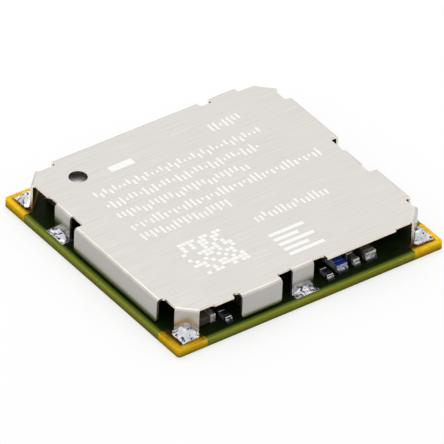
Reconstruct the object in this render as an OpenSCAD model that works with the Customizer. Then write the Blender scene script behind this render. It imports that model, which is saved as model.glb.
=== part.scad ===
// Shielded radio module: a land-grid circuit board under a folded sheet-metal shield.
// Sizes are in millimetres. The origin is the middle of the plane that the lands rest on,
// with Z up, X along the long side and the open front edge of the shield towards -Y.

/* [Board] */
// Length of the board, along X
board_l = 12.5; // [12:0.1:14]
// Width of the board, along Y
board_w = 11.6; // [11.2:0.1:13]
// Thickness of the laminate
board_t = 0.33; // [0.25:0.01:0.8]
// Radius of the board's upright corners
board_corner_r = 0.14; // [0.08:0.01:0.25]
// Thickness of the copper pads and lands
copper_t = 0.03; // [0.02:0.005:0.05]

/* [Lands under the board] */
// Lands along each long edge
long_edge_lands = 13; // [9:1:15]
// Lands along each short edge
short_edge_lands = 11; // [7:1:13]
// Length of an edge land, towards the middle of the board
land_l = 0.6; // [0.4:0.05:0.8]
// Width of an edge land
land_w = 0.45; // [0.3:0.05:0.6]
// Distance from the board's edge to an edge land
land_setback = 0.1; // [0.05:0.05:0.3]
// Distance from the board's corner to the middle of the first land
land_corner_gap = 0.95; // [0.9:0.05:1.2]
// Ground lands along each side of the centre field
ground_rows = 3; // [2:1:4]
// Side of a ground land
ground_land = 1.5; // [1:0.1:1.7]
// Distance between the middles of the ground lands
ground_pitch = 2.1; // [1.8:0.1:2.3]

/* [Corner pads] */
// Length of a corner pad along each edge
corner_pad_arm = 1.35; // [1.2:0.05:1.55]
// Width of the bare gold band outside the solder
gold_band = 0.27; // [0.2:0.01:0.35]
// Thickness of the plating down the board's edge
plating_t = 0.03; // [0.02:0.005:0.05]
// Copper that shows behind a leg
pad_margin = 0.05; // [0.02:0.01:0.1]

/* [Shield] */
// Distance from the board's edge to the shield's sides
shield_margin = 0.25; // [0.2:0.01:0.4]
// Thickness of the sheet
sheet_t = 0.1; // [0.08:0.01:0.15]
// Inside radius of the folds
bend_r = 0.05; // [0.03:0.01:0.1]
// Clearance between the tallest part and the shield
shield_clear = 0.18; // [0.1:0.01:0.4]
// Gap between the flaps and the board
flap_gap = 0.11; // [0.05:0.01:0.2]
// Radius of the lower corners of the flaps
flap_corner_r = 0.14; // [0.08:0.01:0.25]
// Radius of the inner corners of the plate's notches
notch_r = 0.12; // [0.05:0.01:0.12]
// Diameter of the index hole
index_hole_d = 0.75; // [0.5:0.05:1]
// Distance from the shield's left side to the index hole
index_hole_left = 2.02; // [1.85:0.01:2.6]
// Distance from the shield's rear side to the index hole
index_hole_rear = 1.45; // [1.3:0.01:1.8]

/* [Shield tabs] */
// Width of the soldered side legs
leg_w = 1; // [0.9:0.01:1.2]
// Set-back of the side legs from the flaps
leg_inset = 0.27; // [0.2:0.01:0.35]
// Gap between a side leg and a flap
leg_relief = 0.68; // [0.45:0.01:0.8]
// Gap between the right leg and the flap behind it
right_relief = 0.9; // [0.6:0.01:1.1]
// Gap between a side leg and the plate's edge, where no flap stands beside it
edge_relief = 0.55; // [0.4:0.01:0.7]
// Gap between the short sill and the front flap
sill_relief = 0.29; // [0.25:0.01:0.45]
// Gap between the two rear flaps
rear_relief = 0.59; // [0.3:0.01:0.8]
// Depth of the notches beside the flaps, from the shield's side
flap_notch = 0.33; // [0.26:0.01:0.38]
// Depth of the notches between the sills and the front corners, from the shield's side
sill_notch = 0.25; // [0.2:0.01:0.3]
// Chamfer of the shield's corners, along each side
corner_cut = 1.05; // [0.9:0.01:1.15]
// Width of the soldered corner legs
corner_leg_w = 0.95; // [0.8:0.01:1.05]
// Shift of the front left and rear right corner legs, forwards and to the right
corner_leg_shift = 0.1; // [0:0.01:0.12]
// Set-back of the plate's corners from the folds of the corner legs
corner_relief = 0.03; // [0.02:0.01:0.06]
// Distance from a corner to the flap next to it
near_corner_gap = 1.58; // [1.4:0.01:1.7]
// Distance from a corner to the flap or sill that ends before it
far_corner_gap = 1.78; // [1.5:0.01:2]
// Distance from the front left corner to the short sill
front_sill_gap = 1.68; // [1.5:0.01:1.8]
// Width of the short front sill, which has no flap
front_sill_w = 0.9; // [0.6:0.01:1.1]
// Width of the front flap
front_flap_w = 1.87; // [1.5:0.01:2.2]
// Width of the front flap on the right side
right_flap_w = 2.12; // [1.8:0.01:2.4]
// Width of the short flap at the rear
rear_flap_w = 1.2; // [0.9:0.01:1.6]
// Distance from the rear left corner to the left leg
left_leg_gap = 2.4; // [2.1:0.01:2.6]

/* [Solder] */
// Rise of the solder on a corner leg
corner_solder_rise = 0.4; // [0.25:0.01:0.5]
// Reach of the solder out from a corner leg
corner_solder_reach = 0.95; // [0.8:0.01:1.1]
// Rise of the solder on a side leg
leg_solder_rise = 0.18; // [0.12:0.01:0.35]
// Reach of the solder out from a side leg
leg_solder_reach = 0.36; // [0.2:0.01:0.4]
// Rise of the solder at a chip's end
chip_solder_rise = 0.16; // [0.1:0.01:0.2]
// Reach of the solder out from a chip's end
chip_solder_reach = 0.12; // [0.08:0.01:0.16]
// Half width of the blunt top of the solder on a corner leg
corner_solder_crown = 0.2; // [0.05:0.01:0.3]
// Width of the solder film at the top of a fillet
solder_film = 0.015; // [0.01:0.001:0.03]
// Height of the rim where a fillet ends on its pad
solder_rim = 0.025; // [0.01:0.001:0.04]

/* [Transceiver] */
// Side of the moulded package
transceiver_side = 6; // [5.2:0.1:6.4]
// Height of the package
transceiver_h = 0.85; // [0.7:0.01:1]
// Leads along each side
transceiver_leads = 7; // [5:1:8]
// Distance between the leads
transceiver_pitch = 0.65; // [0.5:0.05:0.65]
// Width of a lead
transceiver_lead_w = 0.3; // [0.2:0.01:0.35]
// Length of a lead
transceiver_lead_l = 0.55; // [0.4:0.01:0.6]
// Thickness of the leads and the paddle
transceiver_lead_t = 0.2; // [0.15:0.01:0.25]
// Side of the ground paddle under the package
paddle_side = 4.2; // [3:0.1:4.4]
// Distance from the package to the right legs
transceiver_right_gap = 0.75; // [0.5:0.05:1]
// Distance from the package to the rear flaps
transceiver_rear_gap = 1.1; // [1:0.05:1.3]

/* [Microcontroller] */
// Side of the bare die
die_side = 3.3; // [2.8:0.1:3.6]
// Thickness of the die
die_t = 0.38; // [0.3:0.01:0.5]
// Solder balls along each side
ball_rows = 7; // [5:1:8]
// Distance between the balls
ball_pitch = 0.4; // [0.35:0.01:0.4]
// Diameter of a ball before it is reflowed
ball_d = 0.25; // [0.22:0.01:0.3]
// Height of a reflowed ball
ball_h = 0.18; // [0.14:0.01:0.2]
// Distance from the die to the left leg
die_left_gap = 0.65; // [0.4:0.05:0.9]
// Distance from the die to the chips along the front
die_front_gap = 1; // [0.6:0.05:1.2]

/* [Oscillator] */
// Length of the oscillator, along X
oscillator_l = 2; // [1.6:0.05:2.4]
// Width of the oscillator, along Y
oscillator_w = 1.6; // [1.4:0.05:1.9]
// Height of the oscillator with its lid
oscillator_h = 0.82; // [0.6:0.01:1]
// Thickness of a metal lid
lid_t = 0.1; // [0.06:0.01:0.15]
// Set-back of a metal lid from the ceramic wall
lid_inset = 0.1; // [0.05:0.01:0.2]
// Radius of a lid's corners
lid_corner_r = 0.2; // [0.1:0.01:0.3]
// Radius of the grooves in the ceramic corners
groove_r = 0.12; // [0.08:0.01:0.16]
// Thickness of the terminals under a ceramic case
terminal_t = 0.04; // [0.03:0.01:0.06]
// Length of a terminal under the oscillator, along X
oscillator_terminal_l = 0.65; // [0.5:0.01:0.7]
// Width of a terminal under the oscillator, along Y
oscillator_terminal_w = 0.5; // [0.4:0.01:0.6]

/* [Watch crystal] */
// Length of the crystal, along Y
crystal_l = 1.6; // [1.2:0.05:2]
// Width of the crystal, along X
crystal_w = 1; // [0.8:0.05:1.2]
// Height of the crystal with its lid
crystal_h = 0.5; // [0.35:0.01:0.7]
// Length of a terminal under the crystal, along Y
crystal_terminal_l = 0.45; // [0.3:0.01:0.5]
// Distance from the crystal to the transceiver
crystal_gap = 0.5; // [0.3:0.05:0.8]

/* [Antenna switch] */
// Length of the switch package, along X
switch_l = 1.5; // [1.2:0.05:1.8]
// Width of the switch package, along Y
switch_w = 1.2; // [1:0.05:1.4]
// Height of the switch package
switch_h = 0.5; // [0.4:0.01:0.7]
// Leads along each long side of the switch
switch_leads = 3; // [2:1:3]
// Distance between the switch's leads
switch_pitch = 0.45; // [0.4:0.01:0.5]
// Width of a switch lead
switch_lead_w = 0.22; // [0.15:0.01:0.25]
// Length of a switch lead
switch_lead_l = 0.3; // [0.2:0.01:0.4]
// Distance from the switch to the oscillator
switch_gap = 0.95; // [0.6:0.05:1.1]

/* [Chip parts] */
// Length of a chip
chip_l = 1; // [0.9:0.01:1.2]
// Width of a chip
chip_w = 0.5; // [0.4:0.01:0.58]
// Height of a capacitor or an inductor
chip_h = 0.36; // [0.3:0.01:0.6]
// Length of a small chip
small_l = 0.6; // [0.5:0.01:0.7]
// Width of a small chip, and the height of a small capacitor
small_w = 0.3; // [0.25:0.01:0.35]
// Height of a small resistor
small_resistor_h = 0.23; // [0.18:0.01:0.3]
// Length of each tinned end of a chip
chip_end = 0.24; // [0.15:0.01:0.3]
// Length of each tinned end of a small chip
small_end = 0.15; // [0.1:0.01:0.18]
// Set-back of a chip's body from its tinned ends
end_proud = 0.015; // [0.01:0.005:0.03]
// Distance from a row of chips to the flaps
row_gap = 0.26; // [0.2:0.01:0.4]
// Distance between the chips of the front row
row_pitch = 0.68; // [0.66:0.01:0.75]
// Distance of the small resistors in front of the front row
resistor_lead = 0.15; // [0:0.01:0.16]
// Distance from the end of the long sill to its first chip
long_sill_chip_gap = 0.21; // [0.15:0.01:0.4]
// Distance from the end of the short sill to its small resistor
short_sill_chip_gap = 0.18; // [0.16:0.01:0.3]
// Gap between that resistor and the capacitor that lies beside it
lying_gap = 0.25; // [0.2:0.01:0.35]
// Set-back of the lying capacitor from the front row
lying_setback = 0.14; // [0.05:0.01:0.2]
// Distance from the end of the front flap to the first chip behind it
flap_chip_gap = 0.65; // [0.55:0.01:0.8]
// Distance between the front row and the filter row
filter_row_gap = 0.9; // [0.7:0.05:1]
// Chips in the filter row
filter_chips = 6; // [3:1:6]
// Distance between the chips of the filter row
filter_pitch = 0.9; // [0.75:0.05:1]
// Chips along the rear of the transceiver
rear_chips = 4; // [2:1:4]
// Distance between the chips along the rear
rear_pitch = 1.5; // [1.4:0.05:1.6]

/* [Hidden] */

$fn = 48;

// Sides of the shield, counted round from the front
FRONT = 0;
RIGHT = 1;
REAR = 2;
LEFT = 3;

// Levels
board_top = copper_t + board_t;
pad_top = board_top + copper_t;
die_h = ball_h + die_t;
tallest = max(transceiver_h, oscillator_h, crystal_h, switch_h, die_h, chip_h);
shield_top = pad_top + tallest + shield_clear + sheet_t;

// Plan of the shield
shield_l = board_l - 2 * shield_margin;
shield_w = board_w - 2 * shield_margin;
fold_r = bend_r + sheet_t;
plate_inset = leg_inset + fold_r;
flap_drop = shield_top - board_top - flap_gap;
leg_drop = shield_top - pad_top;

// Half the angle of an arc that is as wide as its own radius
half_arc = 30;

// Where the tabs and the sills start along their sides, and the widths of those that close a side
front_sill_end = front_sill_gap + front_sill_w;
front_flap_start = front_sill_end + sill_relief;
front_flap_end = front_flap_start + front_flap_w;
front_leg_start = front_flap_end + leg_relief;
long_sill_start = front_leg_start + leg_w + edge_relief;
right_flap_end = near_corner_gap + right_flap_w;
right_leg_start = right_flap_end + leg_relief;
right_rear_start = right_leg_start + leg_w + right_relief;
right_rear_w = shield_w - far_corner_gap - right_rear_start;
rear_flap_end = near_corner_gap + rear_flap_w;
rear_long_start = rear_flap_end + rear_relief;
rear_long_w = shield_l - far_corner_gap - rear_long_start;
left_flap_start = left_leg_gap + leg_w + leg_relief;
left_flap_w = shield_w - near_corner_gap - left_flap_start;

// Notches in the plate's edge: the side, the start, the end and the depth
notches = [
    [FRONT, 0, front_sill_gap, sill_notch],
    [FRONT, front_sill_end, front_flap_start, flap_notch],
    [FRONT, front_flap_end, long_sill_start, plate_inset],
    [FRONT, shield_l - far_corner_gap, shield_l, sill_notch],
    [RIGHT, 0, near_corner_gap, flap_notch],
    [RIGHT, right_flap_end, right_rear_start, plate_inset],
    [RIGHT, shield_w - far_corner_gap, shield_w, flap_notch],
    [REAR, 0, near_corner_gap, flap_notch],
    [REAR, rear_flap_end, rear_long_start, flap_notch],
    [REAR, shield_l - far_corner_gap, shield_l, flap_notch],
    [LEFT, 0, left_leg_gap, flap_notch],
    [LEFT, left_leg_gap - edge_relief, left_flap_start, plate_inset],
    [LEFT, shield_w - near_corner_gap, shield_w, flap_notch]
];

// Flaps: the side, the start and the width. Legs: the side and the start
flaps = [
    [FRONT, front_flap_start, front_flap_w],
    [RIGHT, near_corner_gap, right_flap_w],
    [RIGHT, right_rear_start, right_rear_w],
    [REAR, near_corner_gap, rear_flap_w],
    [REAR, rear_long_start, rear_long_w],
    [LEFT, left_flap_start, left_flap_w]
];
legs = [
    [FRONT, front_leg_start],
    [RIGHT, right_leg_start],
    [LEFT, left_leg_gap]
];

// Sizes of the ceramic cases and of their terminals
oscillator_size = [oscillator_l, oscillator_w, oscillator_h];
crystal_size = [crystal_w, crystal_l, crystal_h];
oscillator_terminal = [oscillator_terminal_l, oscillator_terminal_w];
crystal_terminal = [crystal_w, crystal_terminal_l];

// Inner faces that the parts inside are placed from
inner_front = -shield_w / 2 + sheet_t;
inner_rear = shield_w / 2 - sheet_t;
leg_face = shield_l / 2 - leg_inset - sheet_t;

// Places of the parts inside
hole_at = [-shield_l / 2 + index_hole_left, shield_w / 2 - index_hole_rear];
transceiver_at = [
    leg_face - transceiver_right_gap - transceiver_side / 2,
    inner_rear - transceiver_rear_gap - transceiver_side / 2
];
front_row_y = inner_front + row_gap;
die_at = [
    -leg_face + die_left_gap + die_side / 2,
    front_row_y + chip_l + die_front_gap + die_side / 2
];
crystal_at = [transceiver_at.x - transceiver_side / 2 - crystal_gap - crystal_w / 2, transceiver_at.y];
switch_at = [hole_at.x, hole_at.y - oscillator_w / 2 - switch_gap - switch_w / 2];
filter_row_y = front_row_y + chip_l + filter_row_gap + chip_l / 2;
rear_row_y = inner_rear - row_gap - chip_w / 2;
long_sill_x = -shield_l / 2 + long_sill_start + long_sill_chip_gap;
short_sill_x = -shield_l / 2 + front_sill_end - short_sill_chip_gap;
lying_at = [short_sill_x - small_w / 2 - lying_gap - chip_l / 2, front_row_y + lying_setback + chip_w / 2];
front_flap_x = -shield_l / 2 + front_flap_start + flap_chip_gap;
filter_x = transceiver_at.x - filter_pitch * (filter_chips - 1) / 2;
rear_x = transceiver_at.x - rear_pitch * (rear_chips - 1) / 2;

// Kinds of chip: the family, the size and the length of each tinned end
capacitor = ["capacitor", [chip_l, chip_w, chip_h], chip_end];
small_capacitor = ["capacitor", [small_l, small_w, small_w], small_end];
inductor = ["inductor", [chip_l, chip_w, chip_h], chip_end];
small_resistor = ["resistor", [small_l, small_w, small_resistor_h], small_end];
ALONG_X = 0;
ALONG_Y = 90;

long_sill_kinds = [small_resistor, inductor, small_capacitor, capacitor];
front_flap_kinds = [capacitor, capacitor];
filter_kinds = [inductor, capacitor];

// Chips: the kind, the middle and the turn
function row_lead(kind) = kind == small_resistor ? resistor_lead : 0;
function front_chip(kind, x) = [kind, [x, front_row_y - row_lead(kind) + kind[1].x / 2], ALONG_Y];
function family(chip) = chip[0][0];
function size_of(chip) = chip[0][1];
function end_of(chip) = chip[0][2];

chips = [
    for (i = [0 : len(long_sill_kinds) - 1])
        front_chip(long_sill_kinds[i], long_sill_x + i * row_pitch),
    front_chip(small_resistor, short_sill_x),
    [capacitor, lying_at, ALONG_X],
    for (i = [0 : len(front_flap_kinds) - 1])
        front_chip(front_flap_kinds[i], front_flap_x + i * row_pitch),
    for (i = [0 : filter_chips - 1])
        [filter_kinds[i % len(filter_kinds)], [filter_x + i * filter_pitch, filter_row_y], ALONG_Y],
    for (i = [0 : rear_chips - 1])
        [capacitor, [rear_x + i * rear_pitch, rear_row_y], ALONG_X]
];

// Puts its children on one side of the shield: X runs along the side, Y points inwards
module on_side(side) {
    run = side % 2 == 0 ? shield_l : shield_w;
    reach = side % 2 == 0 ? shield_w : shield_l;
    rotate(90 * side)
        translate([-run / 2, -reach / 2])
            children();
}

// Repeats its children, drawn for the corner in +X and +Y, at all four corners
module each_corner() {
    for (across = [0, 1], along = [0, 1]) {
        $leg_shift = (across + along - 1) * corner_leg_shift;
        mirror([across, 0, 0])
            mirror([0, along, 0])
                children();
    }
}

// Puts its children at the foot of a corner leg: X runs along the leg, Y points inwards
module at_corner_leg() {
    translate([(shield_l - corner_cut) / 2, (shield_w - corner_cut) / 2])
        rotate(135)
            translate([$leg_shift, 0])
                children();
}

// A rectangle about the origin with round corners
module rounded_rect(size, r) {
    square([size.x - 2 * r, size.y], center = true);
    square([size.x, size.y - 2 * r], center = true);
    for (x = [-1, 1], y = [-1, 1])
        translate([x * (size.x / 2 - r), y * (size.y / 2 - r)])
            circle(r);
}

// Section of a solder fillet: flat on its left and lower sides, hollow on its outer side.
// The hollow is an arc as wide as its own radius, from the end of the crown to the rim.
module fillet_section(reach, rise, crown) {
    span = norm([reach - crown, rise - solder_rim]);
    outward = [rise - solder_rim, reach - crown] / span;
    middle = [reach + crown, rise + solder_rim] / 2;
    difference() {
        square([reach, rise]);
        translate(middle + outward * span * cos(half_arc))
            circle(span);
    }
}

module board_outline() {
    rounded_rect([board_l, board_w], board_corner_r);
}

// The strip of plating down the board's edge at each corner
module plating_outline() {
    intersection() {
        difference() {
            board_outline();
            rounded_rect([board_l - 2 * plating_t, board_w - 2 * plating_t], board_corner_r - plating_t);
        }
        each_corner()
            translate([board_l / 2 - corner_pad_arm, board_w / 2 - corner_pad_arm])
                square(corner_pad_arm);
    }
}

// The corner pads as seen from above, cut off just behind the corner legs
module corner_pad_outline() {
    pad_step = 2 * shield_margin + corner_cut + sqrt(2) * (sheet_t + pad_margin) - corner_pad_arm;
    far = [board_l / 2, board_w / 2];
    intersection() {
        board_outline();
        each_corner()
            polygon([
                far,
                [far.x - corner_pad_arm, far.y],
                [far.x - corner_pad_arm, far.y - pad_step],
                [far.x - pad_step, far.y - corner_pad_arm],
                [far.x, far.y - corner_pad_arm]
            ]);
    }
}

module board() {
    color([0.24, 0.42, 0.2])
        translate([0, 0, copper_t])
            linear_extrude(board_t)
                difference() {
                    board_outline();
                    plating_outline();
                }
}

module corner_pads() {
    color([0.83, 0.66, 0.24]) {
        translate([0, 0, copper_t])
            linear_extrude(board_t)
                plating_outline();
        translate([0, 0, board_top])
            linear_extrude(copper_t)
                corner_pad_outline();
    }
}

module leg_pads() {
    pad_depth = pad_margin + sheet_t + leg_solder_reach;
    color([0.83, 0.66, 0.24])
        for (leg = legs)
            on_side(leg[0])
                translate([leg[1] - pad_margin, leg_inset - leg_solder_reach, board_top])
                    cube([leg_w + 2 * pad_margin, pad_depth, copper_t]);
}

// A row of edge lands along one side of the board, which is drawn as its front side
module land_row(count, run, reach) {
    pitch = (run - 2 * land_corner_gap) / (count - 1);
    for (i = [0 : count - 1])
        translate([-run / 2 + land_corner_gap + i * pitch - land_w / 2, -reach / 2 + land_setback])
            square([land_w, land_l]);
}

module edge_lands() {
    color([0.83, 0.66, 0.24])
        linear_extrude(copper_t)
            for (turn = [0, 180]) {
                rotate(turn)
                    land_row(long_edge_lands, board_l, board_w);
                rotate(turn + 90)
                    land_row(short_edge_lands, board_w, board_l);
            }
}

module ground_lands() {
    first = -ground_pitch * (ground_rows - 1) / 2;
    color([0.83, 0.66, 0.24])
        linear_extrude(copper_t)
            for (column = [0 : ground_rows - 1], row = [0 : ground_rows - 1])
                translate([first + column * ground_pitch, first + row * ground_pitch])
                    square(ground_land, center = true);
}

// A notch in one side of the plate, open outwards, with round inner corners
module plate_notch(start, end, depth) {
    translate([start, -notch_r])
        square([end - start, depth]);
    translate([start + notch_r, 0])
        square([end - start - 2 * notch_r, depth]);
    for (x = [start + notch_r, end - notch_r])
        translate([x, depth - notch_r])
            circle(notch_r);
}

// The flat plate of the shield, out to where the flaps and the corner legs fold
module plate_outline() {
    half_l = shield_l / 2 - fold_r;
    half_w = shield_w / 2 - fold_r;
    cut = corner_cut + sqrt(2) * (fold_r + corner_relief) - 2 * fold_r;
    difference() {
        polygon([
            [half_l - cut, -half_w], [half_l, -half_w + cut],
            [half_l, half_w - cut], [half_l - cut, half_w],
            [-half_l + cut, half_w], [-half_l, half_w - cut],
            [-half_l, -half_w + cut], [-half_l + cut, -half_w]
        ]);
        for (notch = notches)
            on_side(notch[0])
                plate_notch(notch[1], notch[2], notch[3]);
    }
    each_corner()
        at_corner_leg()
            translate([-corner_leg_w / 2, fold_r])
                square([corner_leg_w, corner_cut]);
}

// Section of a folded tab, from the end of the bend in the plate down its wall
module fold_section(drop) {
    translate([0, -drop])
        square([sheet_t, drop - fold_r]);
    translate([fold_r, -fold_r])
        intersection() {
            difference() {
                circle(fold_r);
                circle(bend_r);
            }
            translate([-fold_r, 0])
                square(fold_r);
        }
}

// A tab folded down from the plate: X runs along the fold, Y points inwards, Z is 0 on top
module folded_tab(width, drop) {
    rotate([90, 0, 90])
        linear_extrude(width)
            fold_section(drop);
}

// A folded flap with round lower corners
module folded_flap(width) {
    intersection() {
        folded_tab(width, flap_drop);
        translate([0, 2 * fold_r, 0])
            rotate([90, 0, 0])
                linear_extrude(3 * fold_r) {
                    translate([0, flap_corner_r - flap_drop])
                        square([width, flap_drop - flap_corner_r]);
                    translate([flap_corner_r, -flap_drop])
                        square([width - 2 * flap_corner_r, flap_drop]);
                    for (x = [flap_corner_r, width - flap_corner_r])
                        translate([x, flap_corner_r - flap_drop])
                            circle(flap_corner_r);
                }
    }
}

module shield() {
    color([0.72, 0.71, 0.7])
        difference() {
            union() {
                translate([0, 0, shield_top - sheet_t])
                    linear_extrude(sheet_t)
                        plate_outline();
                for (flap = flaps)
                    on_side(flap[0])
                        translate([flap[1], 0, shield_top])
                            folded_flap(flap[2]);
                for (leg = legs)
                    on_side(leg[0])
                        translate([leg[1], leg_inset, shield_top])
                            folded_tab(leg_w, leg_drop);
                each_corner()
                    at_corner_leg()
                        translate([-corner_leg_w / 2, 0, shield_top])
                            folded_tab(corner_leg_w, leg_drop);
            }
            translate([hole_at.x, hole_at.y, shield_top - 2 * sheet_t])
                cylinder(h = 3 * sheet_t, d = index_hole_d);
        }
}

module corner_solder() {
    apex = sqrt(2) * (shield_margin + corner_cut / 2 - gold_band);
    half = corner_leg_w / 2 + pad_margin;
    shoulder = half - apex;
    color([0.82, 0.82, 0.82])
        each_corner()
            at_corner_leg()
                translate([0, 0, pad_top])
                    intersection() {
                        rotate_extrude()
                            fillet_section(corner_solder_reach, corner_solder_rise, corner_solder_crown);
                        linear_extrude(corner_solder_rise)
                            polygon([[-half, 0], [half, 0], [half, shoulder], [0, -apex], [-half, shoulder]]);
                    }
}

module leg_solder() {
    straight = leg_w + 2 * pad_margin - 2 * leg_solder_reach;
    color([0.82, 0.82, 0.82])
        for (leg = legs)
            on_side(leg[0])
                translate([leg[1] + leg_w / 2, leg_inset, pad_top]) {
                    translate([straight / 2, 0, 0])
                        rotate([90, 0, -90])
                            linear_extrude(straight)
                                fillet_section(leg_solder_reach, leg_solder_rise, solder_film);
                    translate([straight / 2, 0, 0])
                        rotate(-90)
                            rotate_extrude(angle = 90)
                                fillet_section(leg_solder_reach, leg_solder_rise, solder_film);
                    translate([-straight / 2, 0, 0])
                        rotate(180)
                            rotate_extrude(angle = 90)
                                fillet_section(leg_solder_reach, leg_solder_rise, solder_film);
                }
}

// A block on the board, by its middle and its size
module block_on(at, level, size) {
    translate([at.x - size.x / 2, at.y - size.y / 2, level])
        cube(size);
}

// Places of a row of leads or balls about the row's middle
function lead_places(count, pitch) = [for (i = [0 : count - 1]) (i - (count - 1) / 2) * pitch];

// The leads of the transceiver, which may be made longer outwards to cut their pockets
module transceiver_lead_ring(over) {
    translate([transceiver_at.x, transceiver_at.y, pad_top - over])
        for (turn = [0 : 90 : 270], place = lead_places(transceiver_leads, transceiver_pitch))
            rotate(turn)
                translate([place - transceiver_lead_w / 2, -transceiver_side / 2 - over, 0])
                    cube([transceiver_lead_w, transceiver_lead_l + over, transceiver_lead_t + over]);
}

module transceiver_body() {
    color([0.13, 0.13, 0.14])
        difference() {
            block_on(transceiver_at, pad_top, [transceiver_side, transceiver_side, transceiver_h]);
            transceiver_lead_ring(copper_t);
            block_on(
                transceiver_at, pad_top - copper_t,
                [paddle_side, paddle_side, transceiver_lead_t + copper_t]
            );
        }
}

module transceiver_leads() {
    color([0.8, 0.8, 0.8])
        transceiver_lead_ring(0);
}

module transceiver_paddle() {
    color([0.8, 0.8, 0.8])
        block_on(transceiver_at, pad_top, [paddle_side, paddle_side, transceiver_lead_t]);
}

module microcontroller_die() {
    color([0.36, 0.34, 0.37])
        block_on(die_at, pad_top + ball_h, [die_side, die_side, die_t]);
}

module microcontroller_balls() {
    color([0.8, 0.8, 0.8])
        for (x = lead_places(ball_rows, ball_pitch), y = lead_places(ball_rows, ball_pitch))
            translate([die_at.x + x, die_at.y + y, pad_top + ball_h / 2])
                intersection() {
                    sphere(d = ball_d);
                    cube([2 * ball_d, 2 * ball_d, ball_h], center = true);
                }
}

// A ceramic case with grooved corners, on its terminals and under its lid
module ceramic_case(at, size) {
    translate([at.x, at.y, pad_top + terminal_t])
        linear_extrude(size.z - lid_t - terminal_t)
            difference() {
                square([size.x, size.y], center = true);
                for (x = [-1, 1], y = [-1, 1])
                    translate([x * size.x / 2, y * size.y / 2])
                        circle(groove_r);
            }
}

// The metal lid of a ceramic case
module case_lid(at, size) {
    translate([at.x, at.y, pad_top + size.z - lid_t])
        linear_extrude(lid_t)
            rounded_rect([size.x - 2 * lid_inset, size.y - 2 * lid_inset], lid_corner_r);
}

// Outlines of the four terminals under the oscillator
module oscillator_terminal_outline(margin) {
    translate(hole_at)
        for (x = [-1, 1], y = [-1, 1])
            translate([
                x * (oscillator_l - oscillator_terminal.x) / 2,
                y * (oscillator_w - oscillator_terminal.y) / 2
            ])
                square(oscillator_terminal + [margin, margin], center = true);
}

// Outlines of the two terminals under the crystal
module crystal_terminal_outline(margin) {
    translate(crystal_at)
        for (y = [-1, 1])
            translate([0, y * (crystal_l - crystal_terminal.y) / 2])
                square(crystal_terminal + [margin, margin], center = true);
}

module oscillator_case() {
    color([0.2, 0.18, 0.17])
        ceramic_case(hole_at, oscillator_size);
}

module oscillator_lid() {
    color([0.75, 0.7, 0.68])
        case_lid(hole_at, oscillator_size);
}

module oscillator_terminals() {
    color([0.83, 0.66, 0.24])
        translate([0, 0, pad_top])
            linear_extrude(terminal_t)
                oscillator_terminal_outline(0);
}

module crystal_case() {
    color([0.2, 0.18, 0.17])
        ceramic_case(crystal_at, crystal_size);
}

module crystal_lid() {
    color([0.75, 0.7, 0.68])
        case_lid(crystal_at, crystal_size);
}

module crystal_terminals() {
    color([0.83, 0.66, 0.24])
        translate([0, 0, pad_top])
            linear_extrude(terminal_t)
                crystal_terminal_outline(0);
}

// The leads along both long sides of the switch, which may be made longer to cut their pockets
module switch_lead_rows(over) {
    translate([switch_at.x, switch_at.y, pad_top - over])
        for (turn = [0, 180], place = lead_places(switch_leads, switch_pitch))
            rotate(turn)
                translate([place - switch_lead_w / 2, -switch_w / 2 - over, 0])
                    cube([switch_lead_w, switch_lead_l + over, terminal_t + over]);
}

module switch_body() {
    color([0.13, 0.13, 0.14])
        difference() {
            block_on(switch_at, pad_top, [switch_l, switch_w, switch_h]);
            switch_lead_rows(copper_t);
        }
}

module switch_leads() {
    color([0.8, 0.8, 0.8])
        switch_lead_rows(0);
}

// Puts its children at the middle of a chip, on its pads, with X along the chip
module at_chip(chip) {
    translate([chip[1].x, chip[1].y, pad_top])
        rotate(chip[2])
            children();
}

// The ceramic bodies of the chips of one family
module chip_bodies(name) {
    for (chip = chips)
        if (family(chip) == name) {
            size = size_of(chip);
            at_chip(chip)
                translate([end_of(chip) - size.x / 2, end_proud - size.y / 2, end_proud])
                    cube([size.x - 2 * end_of(chip), size.y - 2 * end_proud, size.z - 2 * end_proud]);
        }
}

// The tinned ends of the chips of one family
module chip_ends(name) {
    for (chip = chips)
        if (family(chip) == name) {
            size = size_of(chip);
            at_chip(chip)
                for (turn = [0, 180])
                    rotate(turn)
                        translate([size.x / 2 - end_of(chip), -size.y / 2, 0])
                            cube([end_of(chip), size.y, size.z]);
        }
}

module capacitor_bodies() {
    color([0.55, 0.43, 0.35])
        chip_bodies("capacitor");
}

module capacitor_ends() {
    color([0.8, 0.8, 0.8])
        chip_ends("capacitor");
}

module inductor_bodies() {
    color([0.2, 0.35, 0.62])
        chip_bodies("inductor");
}

module inductor_ends() {
    color([0.8, 0.8, 0.8])
        chip_ends("inductor");
}

module resistor_bodies() {
    color([0.16, 0.16, 0.18])
        chip_bodies("resistor");
}

module resistor_ends() {
    color([0.8, 0.8, 0.8])
        chip_ends("resistor");
}

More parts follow.
